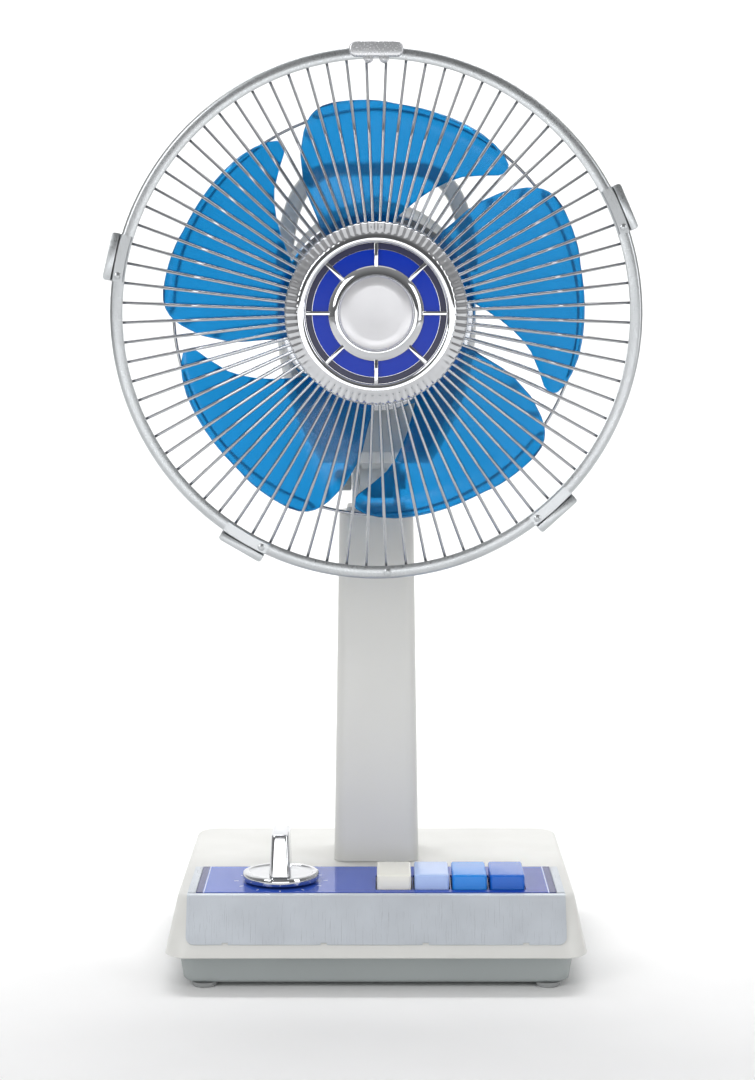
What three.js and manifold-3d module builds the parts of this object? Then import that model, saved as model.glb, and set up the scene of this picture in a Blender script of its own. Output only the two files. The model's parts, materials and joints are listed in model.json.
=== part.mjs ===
// Retro table fan: wire guard with an emblem, five translucent blades, oscillating motor head that tilts,
// tapered column, and a weighted base with a timer knob and four push buttons.
// Millimetres, +Z up, the front faces -Y, and the origin is on the floor under the middle of the fan.
import * as THREE from 'three';
import { mergeVertices } from 'three/addons/utils/BufferGeometryUtils.js';
import Module from 'manifold-3d';

const wasm = await Module();
wasm.setup();

// ---- driving dimensions ----
const GAP = 0.3;
const AXIS_HEIGHT = 466;
const RIM_Y = -62;

const BLADE_COUNT = 5;
const BLADE_RADIUS = 150;
const BLADE_MIDDLE_Y = 20;
const BLADE_PITCH_RISE = 17;
const BLADE_THICKNESS = 2;
const HUB_RADIUS = 34;
const SHAFT_RADIUS = 4;
const BORE_RADIUS = SHAFT_RADIUS + GAP;

const RIM_RADIUS = 187.5;
const RIM_FACE = 9;
const RIM_WALL = 2.2;
const RIM_FRONT_Y = -7;
const RIM_BACK_Y = 6;
const RIM_SEGMENTS = 72;
const WIRE_COUNT = 80;
const WIRE = 2;
const COLLAR_RADIUS = 62.9;

const HOUSING_FRONT_Y = 64.5;
const HOUSING_SPLIT_Y = 105;
const HOUSING_BACK_Y = 185;
const HOUSING_WALL = 2.5;
const HOUSING_HALF_WIDTH = 74;
const HOUSING_BOTTOM = -112;
const HOUSING_MIDDLE = -10;
const SWIVEL_Y = 104;
const POST_RADIUS = 10;
const NECK_RADIUS = 22.5;

const TILT_HEIGHT = 340;
const TILT_Y = RIM_Y + SWIVEL_Y;
const EAR_INNER = 13;
const EAR_OUTER = 18;
const EAR_RADIUS = 14;
const PIN_RADIUS = 4;

const SHELL_HALF_WIDTH = 146;
const SHELL_TOP_HALF_WIDTH = 138;
const SHELL_FRONT = -118;
const SHELL_BACK = 128;
const SHELL_TOP_FRONT = -100;
const SHELL_TOP_BACK = 122;
const SHELL_BOTTOM = 24;
const SHELL_TOP = 62;
const SHELL_WALL = 2.5;
const PAN_INSET = 9.5;
const PAN_WALL = 2.2;
const FOOT_HEIGHT = 3.2;

const PANEL_HALF_WIDTH = 125;
const PANEL_FRONT = -96;
const PANEL_BACK = -19;
const PANEL_THICKNESS = 1.7;
const PANEL_TOP = SHELL_TOP + GAP + PANEL_THICKNESS;

const BUTTON_NAMES = ['off_button', 'low_button', 'medium_button', 'high_button'];
const BUTTON_COLORS = [0xf3f0e2, 0xb9c9f2, 0x3f8fe4, 0x1f5fd0];
const BUTTON_FIRST_X = 12.4;
const BUTTON_PITCH = 26.4;
const BUTTON_WIDTH = 24;
const BUTTON_FRONT = -88;
const BUTTON_BACK = -46;
const BUTTON_TOP = PANEL_TOP + 10;
const BUTTON_BOTTOM = 54;
const WELL_CLEARANCE = 0.8;

const KNOB_X = -67.5;
const KNOB_Y = -62;
const KNOB_RADIUS = 27;
const KNOB_HEIGHT = 35;
const KNOB_BOTTOM = PANEL_TOP + 1;

const COLUMN_BOTTOM_HALF_WIDTH = 31;
const COLUMN_TOP_HALF_WIDTH = 27.5;
const COLUMN_BOTTOM_FRONT = 4;
const COLUMN_BOTTOM_BACK = 68;
const COLUMN_TOP_FRONT = 17;
const COLUMN_TOP_BACK = 67;
const COLUMN_TOP = 317;
const COLUMN_WALL = 2.4;
const TUBE_RADIUS = 11;

const CLIP_ANGLES = [23, 168, 240, 312];
const CLIP_WIDTH = 34;

// Crank of the oscillating drive: the vertical shaft beside the worm, and the pin on the neck that it works against.
const CRANK_X = 17.5;
const CRANK_Y = 157;
const CRANK_THROW = 12;
const LINK_PIN_X = 26;
const LINK_PIN_Y = 110;
const LINK_BOTTOM = -66;

// ---- materials ----
function finish(color, roughness, metalness, opacity = 1) {
  return new THREE.MeshStandardMaterial({ color, roughness, metalness, opacity, transparent: opacity < 1 });
}

const ivory = finish(0xecebe2, 0.4, 0);
const greyPlastic = finish(0x92979a, 0.5, 0);
const blackPlastic = finish(0x1b1b1d, 0.5, 0);
const rubber = finish(0x6f7375, 0.8, 0);
const chrome = finish(0xd9dcdf, 0.1, 1);
const satinSilver = finish(0xb9bdc0, 0.4, 0.8);
const brushedAluminium = finish(0xc6cacf, 0.35, 1);
const steel = finish(0x9a9da0, 0.35, 1);
const castIron = finish(0x4a4c4e, 0.7, 0.6);
const copper = finish(0xb5693a, 0.4, 0.9);
const brass = finish(0xc29a4a, 0.35, 0.9);
const clearBlue = finish(0x1f7fd0, 0.15, 0, 0.85);
const glossBlue = finish(0x2a3fb0, 0.12, 0);
const navy = finish(0x10143c, 0.2, 0);

// ---- shape helpers ----
function solid(geometry) {
  const bare = geometry.clone();
  bare.deleteAttribute('normal');
  bare.deleteAttribute('uv');
  const merged = mergeVertices(bare, 1e-4);
  const corners = merged.index.array;
  const kept = [];
  for (let i = 0; i < corners.length; i += 3) {
    const [a, b, c] = [corners[i], corners[i + 1], corners[i + 2]];
    if (a !== b && b !== c && c !== a) {
      kept.push(a, b, c);
    }
  }
  const vertProperties = new Float32Array(merged.attributes.position.array);
  return new wasm.Manifold(new wasm.Mesh({ numProp: 3, vertProperties, triVerts: new Uint32Array(kept) }));
}

function geometryOf(body) {
  const mesh = body.getMesh();
  const geometry = new THREE.BufferGeometry();
  geometry.setAttribute('position', new THREE.BufferAttribute(new Float32Array(mesh.vertProperties), 3));
  geometry.setIndex(new THREE.BufferAttribute(new Uint32Array(mesh.triVerts), 1));
  geometry.computeVertexNormals();
  return geometry;
}

function joined(...geometries) {
  return geometryOf(geometries.map(solid).reduce((whole, piece) => whole.add(piece)));
}

function cut(geometry, ...tools) {
  return geometryOf(tools.map(solid).reduce((rest, tool) => rest.subtract(tool), solid(geometry)));
}

function add(parent, name, geometry, material) {
  const mesh = new THREE.Mesh(geometry, material);
  mesh.name = name;
  parent.add(mesh);
  return mesh;
}

function box(x0, x1, y0, y1, z0, z1) {
  const geometry = new THREE.BoxGeometry(x1 - x0, y1 - y0, z1 - z0);
  return geometry.translate((x0 + x1) / 2, (y0 + y1) / 2, (z0 + z1) / 2);
}

// A solid of revolution about Y. The profile lists [radius, y] and ends on the axis or closes on itself.
function turned(profile, segments = 18) {
  const onAxis = profile[0][0] === 0;
  const points = profile.map(([radius, y]) => new THREE.Vector2(radius, y));
  if (!onAxis) {
    points.push(points[0].clone());
  }
  if (THREE.ShapeUtils.area(points) < 0) {
    points.reverse();
  }
  return new THREE.LatheGeometry(points, segments);
}

// The same about Z: the profile lists [radius, z].
function turnedUpright(profile, segments = 18) {
  return turned(profile, segments).rotateX(Math.PI / 2);
}

function ring(inner, outer, y0, y1, segments = 18) {
  return turned([[inner, y0], [outer, y0], [outer, y1], [inner, y1]], segments);
}

function rod(radius, y0, y1, segments = 18) {
  return turned([[0, y0], [radius, y0], [radius, y1], [0, y1]], segments);
}

function uprightRod(radius, z0, z1, segments = 18) {
  return rod(radius, z0, z1, segments).rotateX(Math.PI / 2);
}

function crosswiseRod(radius, x0, x1, segments = 18) {
  return rod(radius, -x1, -x0, segments).rotateZ(Math.PI / 2);
}

function polygon(points) {
  return new THREE.Shape(points.map(([x, y]) => new THREE.Vector2(x, y)));
}

function roundedRectangle(x0, x1, y0, y1, radius) {
  const shape = new THREE.Shape();
  shape.moveTo(x0 + radius, y0);
  shape.absarc(x1 - radius, y0 + radius, radius, -Math.PI / 2, 0);
  shape.absarc(x1 - radius, y1 - radius, radius, 0, Math.PI / 2);
  shape.absarc(x0 + radius, y1 - radius, radius, Math.PI / 2, Math.PI);
  shape.absarc(x0 + radius, y0 + radius, radius, Math.PI, Math.PI * 1.5);
  return shape;
}

// Extrusions of a flat outline: upwards from (x, y), along Y from (x, z), and along X from (y, z).
function extrudedUp(shape, z0, z1, curveSegments = 5) {
  const options = { depth: z1 - z0, bevelEnabled: false, curveSegments };
  return new THREE.ExtrudeGeometry(shape, options).translate(0, 0, z0);
}

function extrudedAlongY(shape, y0, y1, steps = 1, curveSegments = 5) {
  const options = { depth: y1 - y0, steps, bevelEnabled: false, curveSegments };
  return new THREE.ExtrudeGeometry(shape, options).rotateX(Math.PI / 2).translate(0, y1, 0);
}

function extrudedAlongX(shape, x0, x1, curveSegments = 8) {
  const options = { depth: x1 - x0, bevelEnabled: false, curveSegments };
  const turn = new THREE.Matrix4().makeBasis(
    new THREE.Vector3(0, 1, 0),
    new THREE.Vector3(0, 0, 1),
    new THREE.Vector3(1, 0, 0),
  );
  return new THREE.ExtrudeGeometry(shape, options).applyMatrix4(turn).translate(x0, 0, 0);
}

// Moves every vertex of a geometry to the place that the function gives for it.
function reshaped(geometry, place) {
  const positions = geometry.attributes.position;
  for (let i = 0; i < positions.count; i += 1) {
    const [x, y, z] = place(positions.getX(i), positions.getY(i), positions.getZ(i));
    positions.setXYZ(i, x, y, z);
  }
  return geometry;
}

// An upright prism that narrows from one rectangle at z0 to another at z1, with rounded corners.
function taperedBlock(bottom, top, z0, z1, radius) {
  const prism = extrudedUp(roundedRectangle(bottom.x0, bottom.x1, bottom.y0, bottom.y1, radius), z0, z1);
  return reshaped(prism, (x, y, z) => {
    const t = (z - z0) / (z1 - z0);
    const across = (x - bottom.x0) / (bottom.x1 - bottom.x0);
    const along = (y - bottom.y0) / (bottom.y1 - bottom.y0);
    const topX = THREE.MathUtils.lerp(top.x0, top.x1, across);
    const topY = THREE.MathUtils.lerp(top.y0, top.y1, along);
    return [THREE.MathUtils.lerp(x, topX, t), THREE.MathUtils.lerp(y, topY, t), z];
  });
}

function inset(rectangle, by) {
  return { x0: rectangle.x0 + by, x1: rectangle.x1 - by, y0: rectangle.y0 + by, y1: rectangle.y1 - by };
}

// ---- base ----
const panOutline = {
  x0: -SHELL_HALF_WIDTH + PAN_INSET,
  x1: SHELL_HALF_WIDTH - PAN_INSET,
  y0: SHELL_FRONT + PAN_INSET,
  y1: SHELL_BACK - PAN_INSET,
};

function makeBasePan() {
  const bottom = FOOT_HEIGHT + GAP;
  const top = SHELL_BOTTOM - GAP;
  const outer = extrudedUp(roundedRectangle(panOutline.x0, panOutline.x1, panOutline.y0, panOutline.y1, 12), bottom, top);
  const hollow = inset(panOutline, PAN_WALL);
  const inner = roundedRectangle(hollow.x0, hollow.x1, hollow.y0, hollow.y1, 10);
  const cordHole = rod(5.3, panOutline.y1 - 6, panOutline.y1 + 6, 16).translate(60, 0, 14);
  return cut(outer, extrudedUp(inner, bottom + PAN_WALL, top + 1), cordHole);
}

function makeBaseShell() {
  const bottom = { x0: -SHELL_HALF_WIDTH, x1: SHELL_HALF_WIDTH, y0: SHELL_FRONT, y1: SHELL_BACK };
  const top = {
    x0: -SHELL_TOP_HALF_WIDTH,
    x1: SHELL_TOP_HALF_WIDTH,
    y0: SHELL_TOP_FRONT,
    y1: SHELL_TOP_BACK,
  };
  const outer = taperedBlock(bottom, top, SHELL_BOTTOM, SHELL_TOP, 16);
  const hollowTop = SHELL_TOP - SHELL_WALL;
  const hollow = taperedBlock(inset(bottom, SHELL_WALL), inset(top, SHELL_WALL), SHELL_BOTTOM, hollowTop, 14);
  const mouth = extrudedUp(
    roundedRectangle(-SHELL_HALF_WIDTH + 3, SHELL_HALF_WIDTH - 3, SHELL_FRONT + 3, SHELL_BACK - 3, 13),
    SHELL_BOTTOM - 1,
    SHELL_BOTTOM + 0.5,
  );
  const tubeHole = uprightRod(TUBE_RADIUS + 1, hollowTop - 1, SHELL_TOP + 1).translate(0, TILT_Y, 0);
  return cut(outer, hollow, mouth, tubeHole, shaftHole(), ...buttonWells());
}

function buttonWells() {
  const half = BUTTON_WIDTH / 2 + WELL_CLEARANCE;
  return BUTTON_NAMES.map((_, i) => {
    const x = BUTTON_FIRST_X + i * BUTTON_PITCH;
    const front = BUTTON_FRONT - WELL_CLEARANCE;
    return box(x - half, x + half, front, BUTTON_BACK + WELL_CLEARANCE, SHELL_TOP - 5, PANEL_TOP + 1);
  });
}

function shaftHole() {
  return uprightRod(SHAFT_RADIUS, SHELL_TOP - 5, PANEL_TOP + 1, 16).translate(KNOB_X, KNOB_Y, 0);
}

function makeControlPanel() {
  const plate = box(-PANEL_HALF_WIDTH, PANEL_HALF_WIDTH, PANEL_FRONT, PANEL_BACK, SHELL_TOP + GAP, PANEL_TOP);
  return cut(plate, shaftHole(), ...buttonWells());
}

// One folded aluminium sheet: the strip down the sloping front, a lip on the deck, and a rail on each side.
function makeFrontTrim() {
  const run = (SHELL_TOP_FRONT - SHELL_FRONT) / (SHELL_TOP - SHELL_BOTTOM);
  const lean = Math.hypot(1, run);
  const onSlope = (z, offset) => SHELL_FRONT + (z - SHELL_BOTTOM) * run - offset * lean;
  const thickness = 1.2;
  const low = SHELL_BOTTOM + 8.6;
  const inside = SHELL_TOP + GAP;
  const outside = inside + thickness;
  const lipEnd = PANEL_FRONT - GAP;
  const section = polygon([
    [onSlope(low, GAP), low],
    [onSlope(low, GAP + thickness), low],
    [onSlope(outside, GAP + thickness), outside],
    [lipEnd, outside],
    [lipEnd, inside],
    [onSlope(inside, GAP), inside],
  ]);
  const strip = extrudedAlongX(section, -131, 131);
  const rail = (x0, x1) => box(x0, x1, SHELL_TOP_FRONT, PANEL_BACK, inside, outside + 0.6);
  const near = PANEL_HALF_WIDTH + GAP;
  return joined(strip, rail(-131, -near), rail(near, 131));
}

function makeTimerKnob() {
  const disc = turnedUpright([
    [0, KNOB_BOTTOM],
    [KNOB_RADIUS - 1, KNOB_BOTTOM],
    [KNOB_RADIUS, KNOB_BOTTOM + 1],
    [KNOB_RADIUS, KNOB_BOTTOM + 5],
    [KNOB_RADIUS - 1.5, KNOB_BOTTOM + 6],
    [0, KNOB_BOTTOM + 6],
  ], 32);
  const grip = box(-7.5, 7.5, -20, 20, KNOB_BOTTOM + 5, KNOB_BOTTOM + KNOB_HEIGHT);
  const bore = uprightRod(3 + GAP, KNOB_BOTTOM - 1, KNOB_BOTTOM + 15, 16);
  const body = geometryOf(solid(disc).add(solid(grip)).subtract(solid(bore)));
  return body.translate(KNOB_X, KNOB_Y, 0);
}

function makeButton(index) {
  const x = BUTTON_FIRST_X + index * BUTTON_PITCH;
  const half = BUTTON_WIDTH / 2;
  const outline = polygon([
    [BUTTON_FRONT, BUTTON_BOTTOM],
    [BUTTON_BACK, BUTTON_BOTTOM],
    [BUTTON_BACK, BUTTON_TOP - 2],
    [BUTTON_BACK - 2, BUTTON_TOP],
    [BUTTON_FRONT + 2.5, BUTTON_TOP],
    [BUTTON_FRONT, BUTTON_TOP - 2.5],
  ]);
  return extrudedAlongX(outline, x - half, x + half);
}

function buildBase(fan) {
  add(fan, 'base_pan', makeBasePan(), greyPlastic);
  let number = 1;
  for (const y of [-98, 108]) {
    for (const x of [-119, 119]) {
      add(fan, `foot_${number}`, uprightRod(8.5, 0, FOOT_HEIGHT, 16).translate(x, y, 0), rubber);
      number += 1;
    }
  }
  const plateBottom = FOOT_HEIGHT + 2 * GAP + PAN_WALL;
  add(fan, 'ballast_plate', box(-85, 85, -58, 80, plateBottom, plateBottom + 8), castIron);
  add(fan, 'base_shell', makeBaseShell(), ivory);
  add(fan, 'control_panel', makeControlPanel(), glossBlue);
  add(fan, 'front_trim', makeFrontTrim(), brushedAluminium);
  add(fan, 'timer_knob', makeTimerKnob(), chrome);
  const shaft = uprightRod(3, 48 + GAP, KNOB_BOTTOM + 14, 16).translate(KNOB_X, KNOB_Y, 0);
  add(fan, 'timer_shaft', shaft, brass);
  add(fan, 'timer_body', box(KNOB_X - 21, KNOB_X + 21, KNOB_Y - 19, KNOB_Y + 19, 26, 48), blackPlastic);
  BUTTON_NAMES.forEach((name, i) => add(fan, name, makeButton(i), finish(BUTTON_COLORS[i], 0.3, 0)));
  const lastX = BUTTON_FIRST_X + 3 * BUTTON_PITCH;
  const switchBox = box(BUTTON_FIRST_X - 12, lastX + 12, BUTTON_FRONT, BUTTON_BACK, 26, 49);
  add(fan, 'switch_box', switchBox, blackPlastic);
  const glandY = panOutline.y1;
  const gland = turned([
    [3, glandY - 5],
    [5, glandY - 5],
    [5, glandY + GAP],
    [7.5, glandY + GAP],
    [7.5, glandY + 2.5],
    [4.5, glandY + 8],
    [3, glandY + 8],
  ], 16).translate(60, 0, 14);
  add(fan, 'cord_gland', gland, blackPlastic);
}

// ---- column and tilt hinge ----
function makeColumnTube() {
  const bottom = {
    x0: -COLUMN_BOTTOM_HALF_WIDTH,
    x1: COLUMN_BOTTOM_HALF_WIDTH,
    y0: COLUMN_BOTTOM_FRONT,
    y1: COLUMN_BOTTOM_BACK,
  };
  const top = { x0: -COLUMN_TOP_HALF_WIDTH, x1: COLUMN_TOP_HALF_WIDTH, y0: COLUMN_TOP_FRONT, y1: COLUMN_TOP_BACK };
  const foot = SHELL_TOP + GAP;
  const outer = taperedBlock(bottom, top, foot, COLUMN_TOP, 9);
  const hollow = taperedBlock(inset(bottom, COLUMN_WALL), inset(top, COLUMN_WALL), foot - 0.01, COLUMN_TOP - 3, 7);
  const hole = uprightRod(TUBE_RADIUS + 0.5, COLUMN_TOP - 10, COLUMN_TOP + 1).translate(0, TILT_Y, 0);
  return cut(outer, hollow, hole);
}

function makeTiltBracket() {
  const base = COLUMN_TOP + GAP;
  const plate = box(-22, 22, TILT_Y - 20, TILT_Y + 20, base, base + 4);
  const ear = new THREE.Shape();
  ear.moveTo(TILT_Y - EAR_RADIUS, base + 1);
  ear.lineTo(TILT_Y + EAR_RADIUS, base + 1);
  ear.absarc(TILT_Y, TILT_HEIGHT, EAR_RADIUS, 0, Math.PI);
  const left = extrudedAlongX(ear, -EAR_OUTER, -EAR_INNER);
  const right = extrudedAlongX(ear, EAR_INNER, EAR_OUTER);
  const hole = crosswiseRod(PIN_RADIUS + GAP, -30, 30, 16).translate(0, TILT_Y, TILT_HEIGHT);
  return geometryOf(solid(plate).add(solid(left)).add(solid(right)).subtract(solid(hole)));
}

function makeTiltPin() {
  const profile = [[0, -18.3], [PIN_RADIUS, -18.3], [PIN_RADIUS, 18.3], [7, 18.3], [7, 22], [0, 22]];
  return turned(profile, 16).rotateZ(-Math.PI / 2).translate(0, TILT_Y, TILT_HEIGHT);
}

// The tilting neck: a barrel between the ears, a round collar, and the post on which the head swings.
function makeNeck() {
  const barrel = crosswiseRod(13.5, -12.7, 12.7, 20).translate(0, TILT_Y, TILT_HEIGHT);
  const collarBottom = TILT_HEIGHT + 15.7;
  const web = box(-12.7, 12.7, TILT_Y - 10, TILT_Y + 10, TILT_HEIGHT + 6, collarBottom + 1);
  const collar = uprightRod(NECK_RADIUS, collarBottom, AXIS_HEIGHT - 95, 24).translate(0, TILT_Y, 0);
  const post = uprightRod(POST_RADIUS, AXIS_HEIGHT - 96, AXIS_HEIGHT - 70.5).translate(0, TILT_Y, 0);
  const lug = box(0, LINK_PIN_X + 4, 0, 8, AXIS_HEIGHT - 97, AXIS_HEIGHT - 93.6).translate(0, TILT_Y + 2, 0);
  const stub = uprightRod(2.5, AXIS_HEIGHT - 95, AXIS_HEIGHT - 62, 12);
  stub.translate(LINK_PIN_X, RIM_Y + LINK_PIN_Y, 0);
  const hole = crosswiseRod(PIN_RADIUS + GAP, -30, 30, 16).translate(0, TILT_Y, TILT_HEIGHT);
  const whole = [web, collar, post, lug, stub].reduce((sum, piece) => sum.add(solid(piece)), solid(barrel));
  return geometryOf(whole.subtract(solid(hole)));
}

function buildColumn(fan) {
  const tube = solid(makeColumnTube());
  const frontHalf = solid(box(-60, 60, -60, TILT_Y - GAP / 2, 0, 400));
  const rearHalf = solid(box(-60, 60, TILT_Y + GAP / 2, 120, 0, 400));
  add(fan, 'column_front_shell', geometryOf(tube.intersect(frontHalf)), ivory);
  add(fan, 'column_rear_shell', geometryOf(tube.intersect(rearHalf)), ivory);
  const tubeFoot = FOOT_HEIGHT + 3 * GAP + PAN_WALL + 8;
  const supportTube = turnedUpright([
    [TUBE_RADIUS - 2, tubeFoot],
    [24, tubeFoot],
    [24, tubeFoot + 3],
    [TUBE_RADIUS, tubeFoot + 3],
    [TUBE_RADIUS, COLUMN_TOP],
    [TUBE_RADIUS - 2, COLUMN_TOP],
  ]).translate(0, TILT_Y, 0);
  add(fan, 'support_tube', supportTube, steel);
  add(fan, 'tilt_bracket', makeTiltBracket(), ivory);
  add(fan, 'tilt_pin', makeTiltPin(), steel);
  const knob = turned([[0, 18.6], [8, 18.6], [8, 28], [6.5, 31], [0, 31]], 20).rotateZ(Math.PI / 2);
  add(fan, 'tilt_knob', knob.translate(0, TILT_Y, TILT_HEIGHT), greyPlastic);
  add(fan, 'neck', makeNeck(), ivory);
  const link = new THREE.Shape();
  const [rootX, rootY] = [LINK_PIN_X, RIM_Y + LINK_PIN_Y];
  const [endX, endY] = [CRANK_X, RIM_Y + CRANK_Y - CRANK_THROW];
  const along = Math.atan2(endY - rootY, endX - rootX);
  link.absarc(rootX, rootY, 5, along + Math.PI / 2, along + Math.PI * 1.5);
  link.absarc(endX, endY, 5, along - Math.PI / 2, along + Math.PI / 2);
  link.holes.push(new THREE.Path().absarc(rootX, rootY, 2.9, 0, Math.PI * 2, true));
  const linkPlate = extrudedUp(link, AXIS_HEIGHT + LINK_BOTTOM, AXIS_HEIGHT + LINK_BOTTOM + 3, 8);
  add(fan, 'crank_link', linkPlate, steel);
}

// ---- head: motor and its housing, in the head's own frame with the fan axis along Y ----
function housingOutline(margin) {
  const side = HOUSING_HALF_WIDTH - margin;
  const top = 82 - margin;
  const bottom = HOUSING_BOTTOM + margin;
  const shape = new THREE.Shape();
  shape.moveTo(-40 + margin, bottom);
  shape.lineTo(40 - margin, bottom);
  shape.bezierCurveTo(62 - margin, -80, side, -45, side, 0);
  shape.bezierCurveTo(side, 45, 42, top, 0, top);
  shape.bezierCurveTo(-42, top, -side, 45, -side, 0);
  shape.bezierCurveTo(-side, -45, -62 + margin, -80, -40 + margin, bottom);
  return shape;
}

// The housing draws in towards its front and, more strongly, towards its back.
function housingScale(y) {
  const shoulder = 82;
  if (y < shoulder) {
    return Math.sqrt(1 - ((shoulder - y) / 42) ** 2);
  }
  return y <= HOUSING_SPLIT_Y ? 1 : Math.sqrt(1 - ((y - HOUSING_SPLIT_Y) / 100) ** 2);
}

function housingBlock(margin, y0, y1, steps) {
  const block = extrudedAlongY(housingOutline(margin), y0, y1, steps);
  return reshaped(block, (x, y, z) => {
    const scale = housingScale(y);
    return [x * scale, y, HOUSING_MIDDLE + (z - HOUSING_MIDDLE) * scale];
  });
}

function neckOpening() {
  return uprightRod(NECK_RADIUS + 1, HOUSING_BOTTOM - 20, HOUSING_BOTTOM + 25, 24).translate(0, SWIVEL_Y, 0);
}

function makeMotorFrontCover() {
  const split = HOUSING_SPLIT_Y - GAP;
  const outer = solid(housingBlock(0, HOUSING_FRONT_Y, split, 3));
  const hollow = solid(housingBlock(HOUSING_WALL, HOUSING_FRONT_Y + HOUSING_WALL, split + 1, 2));
  const boss = solid(rod(20, 50, HOUSING_FRONT_Y + 1, 20));
  const seat = solid(rod(14, HOUSING_FRONT_Y, 82));
  const bore = solid(rod(5.5, 49, 74));
  const bearingSeat = solid(rod(9 + GAP, 72, 83));
  const shell = outer.subtract(hollow).add(boss).add(seat).subtract(bore).subtract(bearingSeat);
  return geometryOf(shell.subtract(solid(neckOpening())));
}

function makeMotorRearCover() {
  const outer = housingBlock(0, HOUSING_SPLIT_Y, HOUSING_BACK_Y, 4);
  const hollow = housingBlock(HOUSING_WALL, HOUSING_SPLIT_Y - 1, HOUSING_BACK_Y - HOUSING_WALL, 4);
  const stemHole = uprightRod(3, 50, 95, 12).translate(0, 150, 0);
  return cut(outer, hollow, neckOpening(), stemHole);
}

function makeCarryHandle() {
  const arch = new THREE.Shape();
  arch.moveTo(75, 36);
  arch.bezierCurveTo(74, 75, 62, 111, 30, 111);
  arch.lineTo(-30, 111);
  arch.bezierCurveTo(-62, 111, -74, 75, -75, 36);
  arch.lineTo(-64, 36);
  arch.bezierCurveTo(-63, 70, -53, 101, -26, 101);
  arch.lineTo(26, 101);
  arch.bezierCurveTo(53, 101, 63, 70, 64, 36);
  const bar = extrudedAlongY(arch, 84, 104);
  return cut(bar, extrudedAlongY(housingOutline(-0.8), 80, 110));
}

function makeMotorBracket() {
  const plate = ring(9 + GAP, 54, 129, 132, 32);
  const web = box(-12, 12, 129, 132, -60, -30);
  const foot = box(-12, 12, 90, 132, -60, -56);
  return joined(plate, web, foot);
}

function makeCrankGear() {
  const profile = [[0, 4], [12, 4], [12, -4], [3, -4], [3, -54], [14, -54], [14, -58], [0, -58]];
  const gear = turnedUpright(profile.reverse(), 24).translate(CRANK_X, CRANK_Y, 0);
  const pin = uprightRod(2, -62, -57, 12).translate(CRANK_X, CRANK_Y - CRANK_THROW, 0);
  return joined(gear, pin);
}

function buildMotor(head) {
  add(head, 'motor_front_cover', makeMotorFrontCover(), ivory);
  add(head, 'motor_rear_cover', makeMotorRearCover(), ivory);
  add(head, 'carry_handle', makeCarryHandle(), ivory);
  add(head, 'stator', ring(24, 52, 90, 124, 32), steel);
  add(head, 'stator_winding', ring(27, 46, 84, 90 - GAP, 32), copper);
  add(head, 'rotor', ring(BORE_RADIUS, 23.4, 88, 126, 32), steel);
  const shaft = [[0, -8], [SHAFT_RADIUS, -8], [SHAFT_RADIUS, 148], [5, 148], [5, 166], [0, 166]];
  add(head, 'motor_shaft', turned(shaft, 16), steel);
  add(head, 'front_bearing', ring(BORE_RADIUS, 9, 74 + GAP, 82), brass);
  add(head, 'rear_bearing', ring(BORE_RADIUS, 9, 128, 134), brass);
  add(head, 'motor_bracket', makeMotorBracket(), steel);
  const bushTop = -60 - GAP;
  const bush = turnedUpright([
    [0, bushTop],
    [14, bushTop],
    [14, -93],
    [POST_RADIUS + 0.4, -93],
    [POST_RADIUS + 0.4, -66],
    [0, -66],
  ]).translate(0, SWIVEL_Y, 0);
  add(head, 'swivel_bush', bush, brass);
  const gearPlate = box(-14, 30, 132.4, 172, -13, -10);
  const gearHole = uprightRod(3.4, -15, -8, 16).translate(CRANK_X, CRANK_Y, 0);
  add(head, 'gear_plate', cut(gearPlate, gearHole), steel);
  add(head, 'crank_gear', makeCrankGear(), blackPlastic);
  const knob = turnedUpright([[0, 12], [2.5, 12], [2.5, 78], [8, 78], [8, 86], [6.5, 88], [0, 88]], 20);
  add(head, 'oscillation_knob', knob.translate(0, 150, 0), chrome);
}

// ---- blades ----
// Each blade is a grid bent onto a helical sheet. Its middle line sweeps back as the radius grows, and its
// half width, in degrees, falls off near the tip so that the corners are round.
const BLADE_STATIONS = [
  { radius: 32.5, middle: 113, half: 20 },
  { radius: 61, middle: 103, half: 21.5 },
  { radius: 90, middle: 94.3, half: 26.3 },
  { radius: 115, middle: 87.3, half: 29.8 },
  { radius: 132, middle: 80.7, half: 32.6 },
  { radius: 143, middle: 79, half: 31 },
  { radius: BLADE_RADIUS, middle: 82, half: 20 },
];
const CHORD_STEPS = 5;

function makeBlade(turn) {
  const rows = BLADE_STATIONS.length - 1;
  const grid = new THREE.BoxGeometry(rows, 2, BLADE_THICKNESS, rows, CHORD_STEPS, 1);
  return reshaped(grid, (u, v, w) => {
    const station = BLADE_STATIONS[Math.round(u + rows / 2)];
    const angle = THREE.MathUtils.degToRad(station.middle + v * station.half + turn);
    const y = BLADE_MIDDLE_Y - BLADE_PITCH_RISE * v - w;
    return [station.radius * Math.cos(angle), y, station.radius * Math.sin(angle)];
  });
}

function buildImpeller(head) {
  const hub = turned([
    [BORE_RADIUS, 0],
    [26, 0],
    [HUB_RADIUS, 6],
    [HUB_RADIUS, 40],
    [HUB_RADIUS - 3, 40],
    [HUB_RADIUS - 3, 8],
    [24, 3],
    [10, 3],
    [10, 38],
    [BORE_RADIUS, 38],
  ], 30);
  const blades = [];
  for (let i = 0; i < BLADE_COUNT; i += 1) {
    blades.push(makeBlade(i * 360 / BLADE_COUNT));
  }
  add(head, 'impeller', joined(hub, ...blades), clearBlue);
  const spinner = [[0, -12], [8, -11], [14, -4], [14, -GAP], [BORE_RADIUS, -GAP], [BORE_RADIUS, -8.5], [0, -8.5]];
  add(head, 'spinner', turned(spinner), navy);
}

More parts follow.
